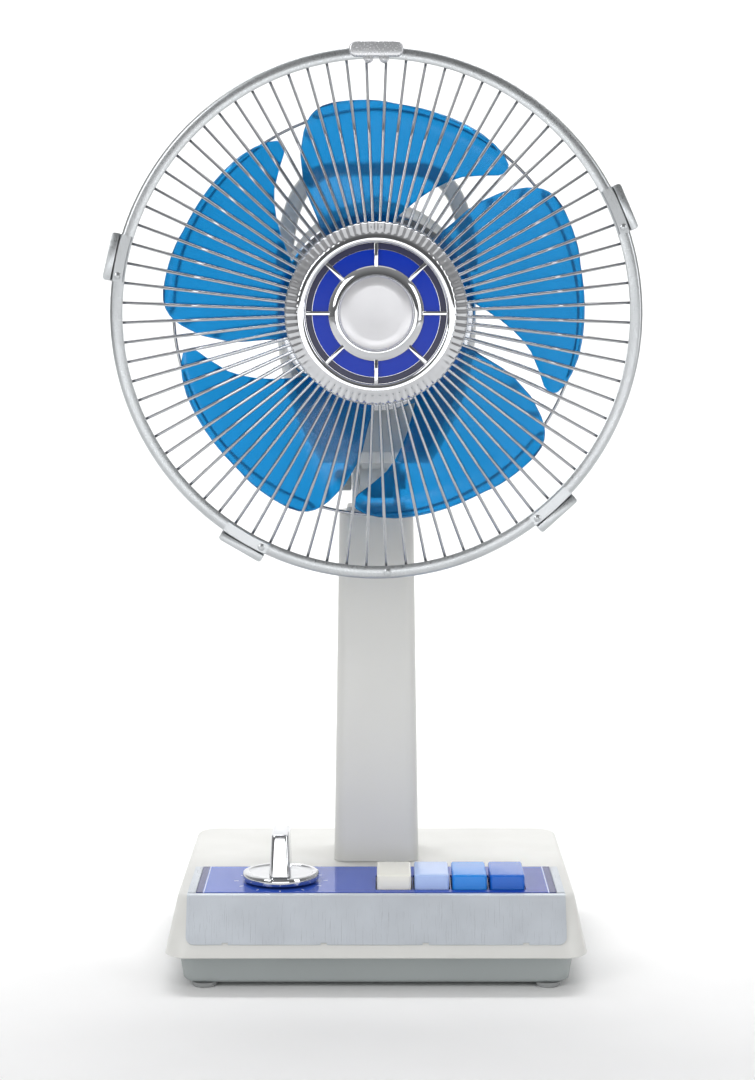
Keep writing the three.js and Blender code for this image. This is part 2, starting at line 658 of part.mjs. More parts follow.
// ---- guards ----
// One wire is a flat strip, as thick as it is wide, that follows [radius, y] points in a plane through the axis.
function makeWire(path) {
  const half = WIRE / 2;
  const points = path.map(([radius, y]) => new THREE.Vector2(radius, y));
  const sides = [[], []];
  points.forEach((point, i) => {
    const before = points[Math.max(i - 1, 0)];
    const after = points[Math.min(i + 1, points.length - 1)];
    const into = point === before ? after.clone().sub(point) : point.clone().sub(before);
    const out = point === after ? into.clone() : after.clone().sub(point);
    const mean = into.normalize().add(out.normalize()).normalize();
    const reach = half / mean.dot(out);
    sides[0].push(new THREE.Vector2(point.x - mean.y * reach, point.y + mean.x * reach));
    sides[1].unshift(new THREE.Vector2(point.x + mean.y * reach, point.y - mean.x * reach));
  });
  const strip = new THREE.Shape([...sides[0], ...sides[1]]);
  return new THREE.ExtrudeGeometry(strip, { depth: WIRE, bevelEnabled: false }).translate(0, 0, -half);
}

function makeGuard(path, rings) {
  let guard = rings.map(solid).reduce((sum, piece) => sum.add(piece));
  const wire = makeWire(path);
  for (let i = 0; i < WIRE_COUNT; i += 1) {
    const angle = (i + 0.5) * Math.PI * 2 / WIRE_COUNT;
    guard = guard.add(solid(wire.clone().rotateY(angle)));
  }
  return geometryOf(guard);
}

function buildGuards(head) {
  const hoop = (inner, outer, y0, y1) => ring(inner, outer, y0, y1, WIRE_COUNT / 2);
  const frontPath = [[181.8, -1.2], [128, -41], [52, -52]];
  const frontHoops = [hoop(180.5, 183.5, -2.8, 0.3), hoop(50.5, 54, -53.4, -50.9)];
  add(head, 'front_guard', makeGuard(frontPath, frontHoops), chrome);
  const rearPath = [[182, 2.6], [150, 54], [69, 61]];
  const rearHoops = [hoop(180.3, 183.5, 0.8, 4.4), hoop(20.5, 72, 59.6, 62.2)];
  add(head, 'rear_guard', makeGuard(rearPath, rearHoops), chrome);
  add(head, 'guard_nut', ring(20.4, 30, 51.5, 59.3, 24), blackPlastic);
  const rim = turned([
    [RIM_RADIUS - RIM_FACE, RIM_FRONT_Y],
    [RIM_RADIUS, RIM_FRONT_Y],
    [RIM_RADIUS, RIM_BACK_Y],
    [RIM_RADIUS - RIM_WALL, RIM_BACK_Y],
    [RIM_RADIUS - RIM_WALL, RIM_FRONT_Y + 1.8],
    [RIM_RADIUS - RIM_FACE, RIM_FRONT_Y + 1.8],
  ], RIM_SEGMENTS);
  add(head, 'guard_rim', rim, satinSilver);
  buildClips(head);
}

// Four over-centre levers hold the two guards in the rim, and a fixed catch holds them at the top.
function buildClips(head) {
  const plate = RIM_RADIUS + 0.4;
  const section = polygon([
    [-7, plate],
    [6.5, plate],
    [6.5, 182.6],
    [8, 182.6],
    [8, plate + 1.5],
    [-5.5, plate + 1.5],
    [-5.5, 193.5],
    [-7, 193.5],
  ]);
  CLIP_ANGLES.forEach((angle, i) => {
    const lever = extrudedAlongX(section, -CLIP_WIDTH / 2, CLIP_WIDTH / 2);
    const mesh = add(head, `clip_lever_${i + 1}`, lever, satinSilver);
    mesh.rotation.y = THREE.MathUtils.degToRad(90 - angle);
  });
  const bar = extrudedAlongY(roundedRectangle(-19, 19, 179.5, 190.5, 5), -12.5, RIM_FRONT_Y - GAP, 1, 4);
  const rivet = (x) => rod(3.5, -12.5, RIM_FRONT_Y - GAP, 12).translate(x, 0, 178.5);
  add(head, 'top_catch', joined(bar, rivet(-5.5), rivet(5.5)), chrome);
}

// ---- emblem at the middle of the front guard ----
function buildEmblem(head) {
  const floor = -57.2;
  const collar = turned([
    [0, floor],
    [48.5, floor],
    [48.5, -62],
    [50, -63],
    [54.2, -63],
    [COLLAR_RADIUS, -56],
    [COLLAR_RADIUS, -53.6],
    [60, -53.6],
    [60, -55.7],
    [5, -55.7],
    [5, -49.6],
    [2.1, -49.6],
    [2.1, -55],
    [0, -55],
  ], 32);
  add(head, 'guard_collar', collar, chrome);
  add(head, 'guard_back_plate', ring(2.1, 60, -49.2, -47.8, 32), satinSilver);
  const screw = turned([[0, -45.4], [4.5, -45.4], [4.5, -47.5], [1.8, -47.5], [1.8, -54.6], [0, -54.6]], 16);
  add(head, 'collar_screw', screw, steel);
  add(head, 'emblem_dark_ring', ring(43.9, 48.2, -59.2, floor - GAP, 32), navy);
  add(head, 'emblem_blue_ring', ring(26, 43.6, -59.2, floor - GAP, 32), glossBlue);
  const spokes = [];
  for (let i = 0; i < 4; i += 1) {
    const bar = box(-48.2, 48.2, -61.2, -59.5, -1.5, 1.5);
    spokes.push(solid(bar.rotateY(i * Math.PI / 4)));
  }
  const hub = solid(rod(25.6, -70, -50, 32));
  const bezel = solid(ring(25.6, 32.6, -62.8, -59.5, 32));
  const spider = spokes.reduce((sum, spoke) => sum.add(spoke)).subtract(hub).add(bezel);
  add(head, 'emblem_spider', geometryOf(spider), chrome);
  add(head, 'emblem_disc', rod(25.3, -66, floor - GAP, 32), chrome);
}

// ---- assembly ----
const fan = new THREE.Group();
const head = new THREE.Group();
head.position.set(0, RIM_Y, AXIS_HEIGHT);
fan.add(head);

buildBase(fan);
buildColumn(fan);
buildMotor(head);
buildImpeller(head);
buildGuards(head);
buildEmblem(head);

export default fan;
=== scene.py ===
import json
import math

import bmesh
import bpy
from mathutils import Matrix, Vector


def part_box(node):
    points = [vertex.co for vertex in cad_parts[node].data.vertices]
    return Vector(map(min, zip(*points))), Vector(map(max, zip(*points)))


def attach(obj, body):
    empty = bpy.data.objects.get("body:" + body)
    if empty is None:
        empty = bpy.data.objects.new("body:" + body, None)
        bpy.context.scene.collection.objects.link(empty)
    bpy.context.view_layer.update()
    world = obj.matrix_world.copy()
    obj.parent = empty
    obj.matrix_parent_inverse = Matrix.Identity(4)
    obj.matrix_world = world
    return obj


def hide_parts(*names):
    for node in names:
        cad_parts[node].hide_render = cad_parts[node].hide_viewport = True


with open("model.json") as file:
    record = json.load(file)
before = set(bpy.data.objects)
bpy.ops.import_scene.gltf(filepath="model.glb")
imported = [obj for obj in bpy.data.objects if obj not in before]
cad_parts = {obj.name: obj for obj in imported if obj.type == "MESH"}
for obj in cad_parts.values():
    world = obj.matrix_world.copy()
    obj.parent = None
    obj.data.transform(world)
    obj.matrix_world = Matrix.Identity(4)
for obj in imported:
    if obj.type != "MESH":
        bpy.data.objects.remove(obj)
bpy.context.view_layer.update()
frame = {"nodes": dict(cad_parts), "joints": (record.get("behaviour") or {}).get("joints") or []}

# ---- Camera ----
# Level with the fan's head and well back, with the frame shifted down to take in the base.
camera_data = bpy.data.cameras.new("camera")
camera_data.lens = 82.5
camera_data.sensor_width = 36
camera_data.shift_x = -0.0015
camera_data.shift_y = -0.2
camera = bpy.data.objects.new("camera", camera_data)
camera.location = (0.002, -1.809, 0.479)
camera.rotation_euler = (math.radians(89.31), 0, 0)
bpy.context.scene.collection.objects.link(camera)
bpy.context.scene.camera = camera
bpy.context.scene.view_settings.view_transform = "Standard"


# ---- Studio ----
# A pale seamless sweep: a floor that curves up into a wall behind the fan. Matt paper.
# Large soft lamps stand above and at both sides, and darker strips in the sky give the chrome its contrast.
def new_finish(name, colour, roughness, metallic=0.0):
    """Starts a node material and returns it with its node list, its links and its shader."""
    finish = bpy.data.materials.new(name)
    finish.use_nodes = True
    finish.diffuse_color = (*colour, 1)
    nodes = finish.node_tree.nodes
    shader = nodes["Principled BSDF"]
    shader.inputs["Base Color"].default_value = (*colour, 1)
    shader.inputs["Roughness"].default_value = roughness
    shader.inputs["Metallic"].default_value = metallic
    return finish, nodes, finish.node_tree.links, shader


def noise(nodes, links, scale, stretch=(1, 1, 1), detail=3.0):
    """Noise on the object's own coordinates, in cycles per metre."""
    coordinates = nodes.new("ShaderNodeTexCoord")
    mapping = nodes.new("ShaderNodeMapping")
    mapping.inputs["Scale"].default_value = stretch
    texture = nodes.new("ShaderNodeTexNoise")
    texture.inputs["Scale"].default_value = scale
    texture.inputs["Detail"].default_value = detail
    links.new(coordinates.outputs["Object"], mapping.inputs["Vector"])
    links.new(mapping.outputs["Vector"], texture.inputs["Vector"])
    return texture.outputs["Fac"]


def spread(nodes, links, value, low, high):
    """Takes noise from its usual range to low..high."""
    ranged = nodes.new("ShaderNodeMapRange")
    ranged.inputs["From Min"].default_value = 0.3
    ranged.inputs["From Max"].default_value = 0.7
    ranged.inputs["To Min"].default_value = low
    ranged.inputs["To Max"].default_value = high
    links.new(value, ranged.inputs["Value"])
    return ranged.outputs["Result"]


def tinted(nodes, links, value, first, second):
    """A colour that runs from the first to the second as the value goes from 0.3 to 0.7."""
    ramp = nodes.new("ShaderNodeValToRGB")
    ramp.color_ramp.elements[0].position = 0.3
    ramp.color_ramp.elements[0].color = (*first, 1)
    ramp.color_ramp.elements[1].position = 0.7
    ramp.color_ramp.elements[1].color = (*second, 1)
    links.new(value, ramp.inputs["Fac"])
    return ramp.outputs["Color"]


def coloured(nodes, links, shader, scale, first, second):
    """Lets noise of this scale run the colour between two."""
    colour = tinted(nodes, links, noise(nodes, links, scale), first, second)
    links.new(colour, shader.inputs["Base Color"])


def hazed(nodes, links, shader, value, low, high):
    """Lets a value run the roughness between two."""
    links.new(spread(nodes, links, value, low, high), shader.inputs["Roughness"])


def roughened(nodes, links, shader, value, strength, depth):
    """Bump from a value, with its depth in metres."""
    bump = nodes.new("ShaderNodeBump")
    bump.inputs["Strength"].default_value = strength
    bump.inputs["Distance"].default_value = depth
    links.new(value, bump.inputs["Height"])
    links.new(bump.outputs["Normal"], shader.inputs["Normal"])


def shade(colour, by):
    return tuple(min(channel * by, 1.0) for channel in colour)


def calculated(nodes, links, operation, first, second=None, third=None):
    """One step of arithmetic between sockets and numbers."""
    step = nodes.new("ShaderNodeMath")
    step.operation = operation
    for socket, value in zip(step.inputs, (first, second, third)):
        if value is None:
            continue
        if isinstance(value, (int, float)):
            socket.default_value = value
        else:
            links.new(value, socket)
    return step.outputs["Value"]


def verts_of(geometry):
    return [item for item in geometry if isinstance(item, bmesh.types.BMVert)]


def edges_of(geometry):
    return [item for item in geometry if isinstance(item, bmesh.types.BMEdge)]


def shifted(bm, x, y, z):
    bmesh.ops.translate(bm, vec=(x, y, z), verts=bm.verts)


def outward(bm):
    bmesh.ops.recalc_face_normals(bm, faces=bm.faces)


def walled(bm, thickness):
    """Gives a skin its wall, inwards."""
    bmesh.ops.solidify(bm, geom=bm.faces[:], thickness=thickness)


paper, nodes, links, shader = new_finish("backdrop_paper", (0.9, 0.9, 0.9), 0.9)
coloured(nodes, links, shader, 6, (0.9, 0.9, 0.9), (0.93, 0.93, 0.93))
bm = bmesh.new()
SWEEP_HALF_WIDTH = 5
SWEEP_FORWARD = 2.6
SWEEP_BEND = 1.2
WALL_HEIGHT = 4
bmesh.ops.create_grid(bm, x_segments=1, y_segments=1, size=SWEEP_HALF_WIDTH)
far_edges = [
    edge for edge in bm.edges if all(vert.co.y > SWEEP_HALF_WIDTH - 1 for vert in edge.verts)
]
shifted(bm, 0, -SWEEP_FORWARD, 0)
grown = bmesh.ops.spin(
    bm,
    geom=far_edges,
    cent=(0, SWEEP_HALF_WIDTH - SWEEP_FORWARD, SWEEP_BEND),
    axis=(1, 0, 0),
    angle=math.radians(90),
    steps=16,
)["geom_last"]
raised = bmesh.ops.extrude_edge_only(bm, edges=edges_of(grown))["geom"]
bmesh.ops.translate(bm, vec=(0, 0, WALL_HEIGHT), verts=verts_of(raised))
outward(bm)
sweep_mesh = bpy.data.meshes.new("sweep")
bm.to_mesh(sweep_mesh)
bm.free()
sweep_mesh.shade_smooth()
sweep_mesh.materials.append(paper)
sweep = bpy.data.objects.new("sweep", sweep_mesh)
bpy.context.scene.collection.objects.link(sweep)


def softbox(name, place, target, width, height, watts):
    lamp = bpy.data.lights.new(name, "AREA")
    lamp.shape = "RECTANGLE"
    lamp.size = width
    lamp.size_y = height
    lamp.energy = watts
    stand = bpy.data.objects.new(name, lamp)
    stand.location = place
    stand.rotation_euler = (Vector(target) - Vector(place)).to_track_quat("-Z", "Y").to_euler()
    bpy.context.scene.collection.objects.link(stand)


softbox("key", (-1.6, -1.9, 1.5), (0, 0, 0.35), 0.9, 1.6, 22)
softbox("fill", (1.9, -1.6, 1.0), (0, 0, 0.35), 0.7, 1.8, 13)
softbox("top", (0.0, 0.1, 2.4), (0, 0, 0), 1.8, 1.8, 5)
softbox("low_front", (0.0, -2.6, 0.25), (0, 0, 0.2), 2.4, 0.5, 9)
softbox("wall_wash", (0.0, 1.0, 2.6), (0, 2.6, 0.6), 3.5, 0.8, 95)

world = bpy.data.worlds.new("studio")
world.use_nodes = True
bpy.context.scene.world = world
sky = world.node_tree
direction = sky.nodes.new("ShaderNodeTexCoord")
parts = sky.nodes.new("ShaderNodeSeparateXYZ")
sky_ramp = sky.nodes.new("ShaderNodeValToRGB")
sky_ramp.color_ramp.elements[0].position = 0.1
sky_ramp.color_ramp.elements[0].color = (0.22, 0.22, 0.22, 1)
sky_ramp.color_ramp.elements[1].position = 1.0
sky_ramp.color_ramp.elements[1].color = (1, 1, 1, 1)
for position, grey in ((0.3, 0.4), (0.5, 0.6), (0.7, 0.85)):
    stop = sky_ramp.color_ramp.elements.new(position)
    stop.color = (grey, grey, grey, 1)
sky.links.new(direction.outputs["Generated"], parts.inputs["Vector"])
backwards = calculated(sky.nodes, sky.links, "MULTIPLY_ADD", parts.outputs["Y"], 0.42, 0.5)
brightness = calculated(
    sky.nodes, sky.links, "MULTIPLY_ADD", parts.outputs["Z"], 0.2, backwards
)
sky.links.new(brightness, sky_ramp.inputs["Fac"])
sky.links.new(sky_ramp.outputs["Color"], sky.nodes["Background"].inputs["Color"])
sky.nodes["Background"].inputs["Strength"].default_value = 0.6


# ---- Under-pan ----
# A grey moulded tray that closes the base from below. Polypropylene with a fine matt grain, with sloping
# walls and a rounded floor edge, screwed up into the shell.
MM = 0.001
X_AXIS = Vector((1, 0, 0))
Y_AXIS = Vector((0, 1, 0))
Z_AXIS = Vector((0, 0, 1))


def moulded(name, colour, roughness, grain_depth=0.00004, grain=1400, mottle=0.03):
    """Moulded plastic: a faint mottle, uneven gloss and a fine grain."""
    finish, nodes, links, shader = new_finish(name, colour, roughness)
    coloured(nodes, links, shader, 14, shade(colour, 1 - mottle), shade(colour, 1 + mottle))
    patches = noise(nodes, links, 45)
    hazed(nodes, links, shader, patches, roughness * 0.85, roughness * 1.2)
    roughened(nodes, links, shader, noise(nodes, links, grain), 0.25, grain_depth)
    return finish


def span(node):
    """A CAD node's lowest and highest corner, in millimetres."""
    low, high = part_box(node)
    return low / MM, high / MM


def block(low, high):
    bm = bmesh.new()
    bmesh.ops.create_cube(bm, size=1)
    low, high = Vector(low), Vector(high)
    bmesh.ops.scale(bm, vec=high - low, verts=bm.verts)
    shifted(bm, *(low + high) / 2)
    return bm


def upright(edge):
    run = (edge.verts[1].co - edge.verts[0].co).normalized()
    return abs(run.z) > 0.8


def level_at(z):
    return lambda edge: all(abs(vert.co.z - z) < 0.01 for vert in edge.verts)


def eased(bm, wanted, radius, segments=4):
    """Rounds the edges for which wanted is true."""
    bmesh.ops.bevel(
        bm,
        geom=[edge for edge in bm.edges if wanted(edge)],
        offset=radius,
        offset_type="OFFSET",
        segments=segments,
        profile=0.5,
        affect="EDGES",
        material=-1,
    )


def folded(edge):
    """Whether two faces meet sharply here."""
    return edge.is_manifold and edge.calc_face_angle() > math.radians(60)


def lengthwise(edge):
    """Whether an edge runs along the fan's axis, front to back."""
    return abs(edge.verts[0].co.y - edge.verts[1].co.y) > 1


def rotated(bm, angle, axis):
    turn = Matrix.Rotation(angle, 3, axis)
    bmesh.ops.rotate(bm, cent=(0, 0, 0), matrix=turn, verts=bm.verts)


def sliced(bm, place, normal, clear_outer=False):
    """Cuts new edges into a mesh along a plane, and may delete what lies beyond it."""
    bmesh.ops.bisect_plane(
        bm,
        geom=bm.verts[:] + bm.edges[:] + bm.faces[:],
        dist=1e-4,
        plane_co=place,
        plane_no=normal,
        clear_outer=clear_outer,
    )


def thickened(bm, run):
    """Draws a flat outline out into a solid along this vector."""
    grown = bmesh.ops.extrude_face_region(bm, geom=bm.faces[:])["geom"]
    bmesh.ops.translate(bm, vec=run, verts=verts_of(grown))
    outward(bm)


def facing(bm, side):
    """Turns an open skin's faces to the front (-1) or to the back (1)."""
    outward(bm)
    if sum(face.normal.y for face in bm.faces) * side < 0:
        bmesh.ops.reverse_faces(bm, faces=bm.faces)


def joined(bm, other):
    """Adds the other bmesh to this one."""
    carrier = bpy.data.meshes.new("carrier")
    other.to_mesh(carrier)
    other.free()
    bm.from_mesh(carrier)
    bpy.data.meshes.remove(carrier)


SMOOTH_BELOW = 32


def piece(bm, name, body, slot, finish, *nodes, sharp=SMOOTH_BELOW):
    """Makes a finished piece from a bmesh in millimetres: its mesh, material, body and CAD nodes. The slot
    argument is not used.
    """
    bmesh.ops.scale(bm, vec=(MM, MM, MM), verts=bm.verts)
    mesh = bpy.data.meshes.new(name)
    bm.to_mesh(mesh)
    bm.free()
    mesh.shade_smooth()
    mesh.set_sharp_from_angle(angle=math.radians(sharp))
    mesh.materials.append(finish)
    made = bpy.data.objects.new(name, mesh)
    bpy.context.scene.collection.objects.link(made)
    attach(made, body)
    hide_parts(*nodes)
    return made


grey_plastic = moulded("grey_plastic", (0.35, 0.38, 0.38), 0.5)
pan_low, pan_high = span("base_pan")
PAN_CORNER = 12
PAN_WALL = 2.2
PAN_FLOOR_WIDTH = 0.978
PAN_FLOOR_DEPTH = 0.975
PAN_FLOOR_BACK = 3
bm = block(pan_low, pan_high)
eased(bm, upright, PAN_CORNER, 6)
for vert in bm.verts:
    if vert.co.z < pan_low.z + 1:
        vert.co.x *= PAN_FLOOR_WIDTH
        vert.co.y = pan_low.y + PAN_FLOOR_BACK + (vert.co.y - pan_low.y) * PAN_FLOOR_DEPTH
lid = [face for face in bm.faces if face.normal.z > 0.9]
bmesh.ops.delete(bm, geom=lid, context="FACES_ONLY")
eased(bm, level_at(pan_low.z), 3, 4)
walled(bm, PAN_WALL)
piece(bm, "under_pan", "base", "grey_plastic", grey_plastic, "base_pan")


# ---- Feet ----
# Four soft rubber buttons that grip the table, each with a shallow ring, pressed into the pan.
def turned(profile, steps=64, closed=False, axis="Y"):
    """Spins a profile of (radius, place along the axis) points round Y or Z."""
    bm = bmesh.new()
    if axis == "Y":
        corners = [bm.verts.new((radius, along, 0)) for radius, along in profile]
    else:
        corners = [bm.verts.new((radius, 0, along)) for radius, along in profile]
    edges = [bm.edges.new(pair) for pair in zip(corners, corners[1:])]
    if closed:
        edges.append(bm.edges.new((corners[-1], corners[0])))
    bmesh.ops.spin(
        bm,
        geom=corners + edges,
        cent=(0, 0, 0),
        axis=Y_AXIS if axis == "Y" else Z_AXIS,
        angle=math.tau,
        steps=steps,
        use_merge=True,
    )
    bmesh.ops.remove_doubles(bm, verts=bm.verts, dist=1e-4)
    outward(bm)
    return bm


foot_rubber = moulded("foot_rubber", (0.3, 0.31, 0.31), 0.8, 0.0001, 900, 0.08)
FOOT_PROFILE = ((0, 0.4), (4.5, 0.4), (5, 0), (7.6, 0), (8.5, 0.9), (8.5, 3.2), (0, 3.2))
for number in (1, 2, 3, 4):
    foot_low, foot_high = span(f"foot_{number}")
    bm = turned(FOOT_PROFILE, 40, axis="Z")
    middle = (foot_low + foot_high) / 2
    shifted(bm, middle.x, middle.y, 0)
    piece(bm, f"rubber_foot_{number}", "base", "foot_rubber", foot_rubber, f"foot_{number}")

# ---- Ballast, timer works and switch ----
# What fills the base: an iron plate for weight, the clockwork timer, and the box with the button switches.
# They are hidden, so the CAD shapes stay and get their own finishes.
ballast_iron = moulded("ballast_iron", (0.07, 0.072, 0.075), 0.7, 0.0002, 500, 0.15)
black_plastic = moulded("black_plastic", (0.02, 0.02, 0.022), 0.45)


def plated(name, colour, roughness, stretch=(1, 1, 1), haze=60, depth=0.00001, grain=900):
    """Metal: slightly uneven gloss, and fine marks that run along the stretch."""
    finish, nodes, links, shader = new_finish(name, colour, roughness, 1.0)
    coloured(nodes, links, shader, haze, shade(colour, 0.94), shade(colour, 1.04))
    marks = noise(nodes, links, grain, stretch)
    hazed(nodes, links, shader, marks, roughness * 0.7, roughness * 1.4)
    roughened(nodes, links, shader, marks, 0.2, depth)
    return finish


steel = plated("steel", (0.45, 0.46, 0.47), 0.35)
brass = plated("brass", (0.62, 0.42, 0.15), 0.3)
copper_winding = plated("copper_winding", (0.62, 0.25, 0.1), 0.4, (1, 1, 12), 30, 0.0002, 300)


def keep(node, finish):
    """A CAD node whose shape is right stays, with a better finish."""
    slots = frame["nodes"][node].data.materials
    slots.clear()
    slots.append(finish)


keep("ballast_plate", ballast_iron)
keep("timer_body", black_plastic)
keep("timer_shaft", brass)
keep("switch_box", black_plastic)

# ---- Base shell ----
# The ivory cover of the base, one injection-moulded ABS shell with sloping walls, wide corner radii and a
# soft top edge. The deck is open under the control panel for the buttons and for the timer's shaft.
ivory_plastic = moulded("ivory_plastic", (0.70, 0.70, 0.675), 0.4, 0.00002, 1800, 0.012)
shell_low, shell_high = span("base_shell")
TOP_INSET = 8
FRONT_SLOPE = 18
BACK_SLOPE = 6
DECK_CORNER = 16
SHELL_WALL = 2.5
bm = block(shell_low, shell_high)
for vert in bm.verts:
    if vert.co.z > shell_high.z - 1:
        vert.co.x -= math.copysign(TOP_INSET, vert.co.x)
        vert.co.y += FRONT_SLOPE if vert.co.y < 0 else -BACK_SLOPE
eased(bm, upright, DECK_CORNER, 10)
floor_faces = [face for face in bm.faces if face.normal.z < -0.9]
bmesh.ops.delete(bm, geom=floor_faces, context="FACES_ONLY")
eased(bm, level_at(shell_high.z), 3.2, 5)


def open_deck(bm, x0, x1, y0, y1):
    """Cuts a rectangular hole in a level sheet, between these places across and along."""
    for place, normal in (
        ((x0, 0, 0), X_AXIS),
        ((x1, 0, 0), X_AXIS),
        ((0, y0, 0), Y_AXIS),
        ((0, y1, 0), Y_AXIS),
    ):
        sliced(bm, place, normal)
    hole = []
    for face in bm.faces:
        centre = face.calc_center_median()
        if abs(face.normal.z) > 0.9 and x0 < centre.x < x1 and y0 < centre.y < y1:
            hole.append(face)
    bmesh.ops.delete(bm, geom=hole, context="FACES")


WELL_GAP = 0.8
BUTTONS = ("off_button", "low_button", "medium_button", "high_button")
TUBE_HOLE = (-12, 12, 30, 54)
TIMER_HOLE = (-71.5, -63.5, -66, -58)


def open_well(bm, low, high):
    open_deck(bm, low.x - WELL_GAP, high.x + WELL_GAP, low.y - WELL_GAP, high.y + WELL_GAP)


open_well(bm, span(BUTTONS[0])[0], span(BUTTONS[-1])[1])
open_deck(bm, *TUBE_HOLE)
open_deck(bm, *TIMER_HOLE)
walled(bm, SHELL_WALL)
piece(bm, "base_cover", "base", "ivory_plastic", ivory_plastic, "base_shell")

# ---- Control panel ----
# A glossy acrylic sheet, royal blue and lighter towards its left end, back-printed with a thin pale border
# and a dial of plain ticks round the timer. It is stuck on the deck, with a well for each button.
panel_low, panel_high = span("control_panel")
knob_low, knob_high = span("timer_knob")
knob_x = (knob_low.x + knob_high.x) / 2
knob_y = (knob_low.y + knob_high.y) / 2
PANEL_LIGHT = (0.05, 0.12, 0.55)
PANEL_DEEP = (0.01, 0.045, 0.36)
PANEL_EDGE = (0.012, 0.02, 0.16)
PRINT_PALE = (0.55, 0.62, 0.85)
EDGE_BAND = 0.1205
SIDE_LINE = 0.1198
SIDE_LINE_HALF_WIDTH = 0.0004
DIAL_TICKS = 12
TICK_SHARE = 0.07
TICK_RADIUS = 0.0315
TICK_HALF_LENGTH = 0.0016
blue_panel, nodes, links, shader = new_finish("blue_panel", PANEL_DEEP, 0.08)
shader.inputs["Specular IOR Level"].default_value = 0.22


def mixed(nodes, links, amount, first, second):
    """Mixes two colours, each a socket or a plain colour."""
    mix = nodes.new("ShaderNodeMix")
    mix.data_type = "RGBA"
    links.new(amount, mix.inputs["Factor"])
    for name, value in (("A", first), ("B", second)):
        socket = [item for item in mix.inputs if item.name == name and item.type == "RGBA"][0]
        if isinstance(value, tuple):
            socket.default_value = (*value, 1)
        else:
            links.new(value, socket)
    return [item for item in mix.outputs if item.type == "RGBA"][0]


coordinates = nodes.new("ShaderNodeTexCoord")
place = nodes.new("ShaderNodeSeparateXYZ")
links.new(coordinates.outputs["Object"], place.inputs["Vector"])
along = nodes.new("ShaderNodeMapRange")
along.inputs["From Min"].default_value = panel_low.x * MM
along.inputs["From Max"].default_value = panel_high.x * MM
links.new(place.outputs["X"], along.inputs["Value"])
sheet_colour = mixed(nodes, links, along.outputs["Result"], PANEL_LIGHT, PANEL_DEEP)
from_side = calculated(nodes, links, "ABSOLUTE", place.outputs["X"])
edge_band = calculated(nodes, links, "GREATER_THAN", from_side, EDGE_BAND)
sheet_colour = mixed(nodes, links, edge_band, sheet_colour, PANEL_EDGE)
side_line = calculated(nodes, links, "COMPARE", from_side, SIDE_LINE, SIDE_LINE_HALF_WIDTH)
sheet_colour = mixed(nodes, links, side_line, sheet_colour, PRINT_PALE)
dial_x = calculated(nodes, links, "SUBTRACT", place.outputs["X"], knob_x * MM)
dial_y = calculated(nodes, links, "SUBTRACT", place.outputs["Y"], knob_y * MM)
across = calculated(nodes, links, "MULTIPLY", dial_x, dial_x)
dial_radius = calculated(
    nodes, links, "SQRT", calculated(nodes, links, "MULTIPLY_ADD", dial_y, dial_y, across)
)
dial_angle = calculated(nodes, links, "ARCTAN2", dial_y, dial_x)
tick_place = calculated(
    nodes, links, "FRACT", calculated(nodes, links, "MULTIPLY", dial_angle, DIAL_TICKS / math.tau)
)
tick_width = calculated(nodes, links, "LESS_THAN", tick_place, TICK_SHARE)
tick_length = calculated(nodes, links, "COMPARE", dial_radius, TICK_RADIUS, TICK_HALF_LENGTH)
tick = calculated(nodes, links, "MULTIPLY", tick_width, tick_length)
sheet_colour = mixed(nodes, links, tick, sheet_colour, PRINT_PALE)
links.new(sheet_colour, shader.inputs["Base Color"])
hazed(nodes, links, shader, noise(nodes, links, 30), 0.05, 0.12)
roughened(nodes, links, shader, noise(nodes, links, 25), 0.1, 0.0001)
bm = bmesh.new()
bmesh.ops.create_grid(bm, x_segments=1, y_segments=1, size=0.5)
panel_size = panel_high - panel_low
bmesh.ops.scale(bm, vec=(panel_size.x, panel_size.y, 1), verts=bm.verts)
panel_middle = (panel_low + panel_high) / 2
shifted(bm, panel_middle.x, panel_middle.y, panel_high.z)
for name in BUTTONS:
    open_well(bm, *span(name))
open_deck(bm, knob_x - 4, knob_x + 4, knob_y - 4, knob_y + 4)
bmesh.ops.solidify(bm, geom=bm.faces[:], thickness=panel_size.z)
piece(bm, "blue_fascia", "base", "blue_panel", blue_panel, "control_panel")

# ---- Front trim ----
# One folded sheet of anodised aluminium, brushed up and down: a wide strip down the sloping front with
# rounded lower corners and four small tabs' notches, a lip on the deck, and a rail along each side.
brushed_trim = plated("brushed_trim", (0.62, 0.66, 0.71), 0.36, (40, 0.4, 0.4), 40, 0.000004, 120)
brushed_trim.node_tree.nodes["Principled BSDF"].inputs["Metallic"].default_value = 0.35
trim_low, trim_high = span("front_trim")
SLOPE_RUN = FRONT_SLOPE / (shell_high.z - shell_low.z)
TRIM_STAND_OFF = 1.66
TRIM_THICKNESS = 1.2
LIP_BACK = panel_low.y - 0.3
lip_top = shell_high.z + 1.5


def on_slope(z):
    return shell_low.y + (z - shell_low.z) * SLOPE_RUN - TRIM_STAND_OFF


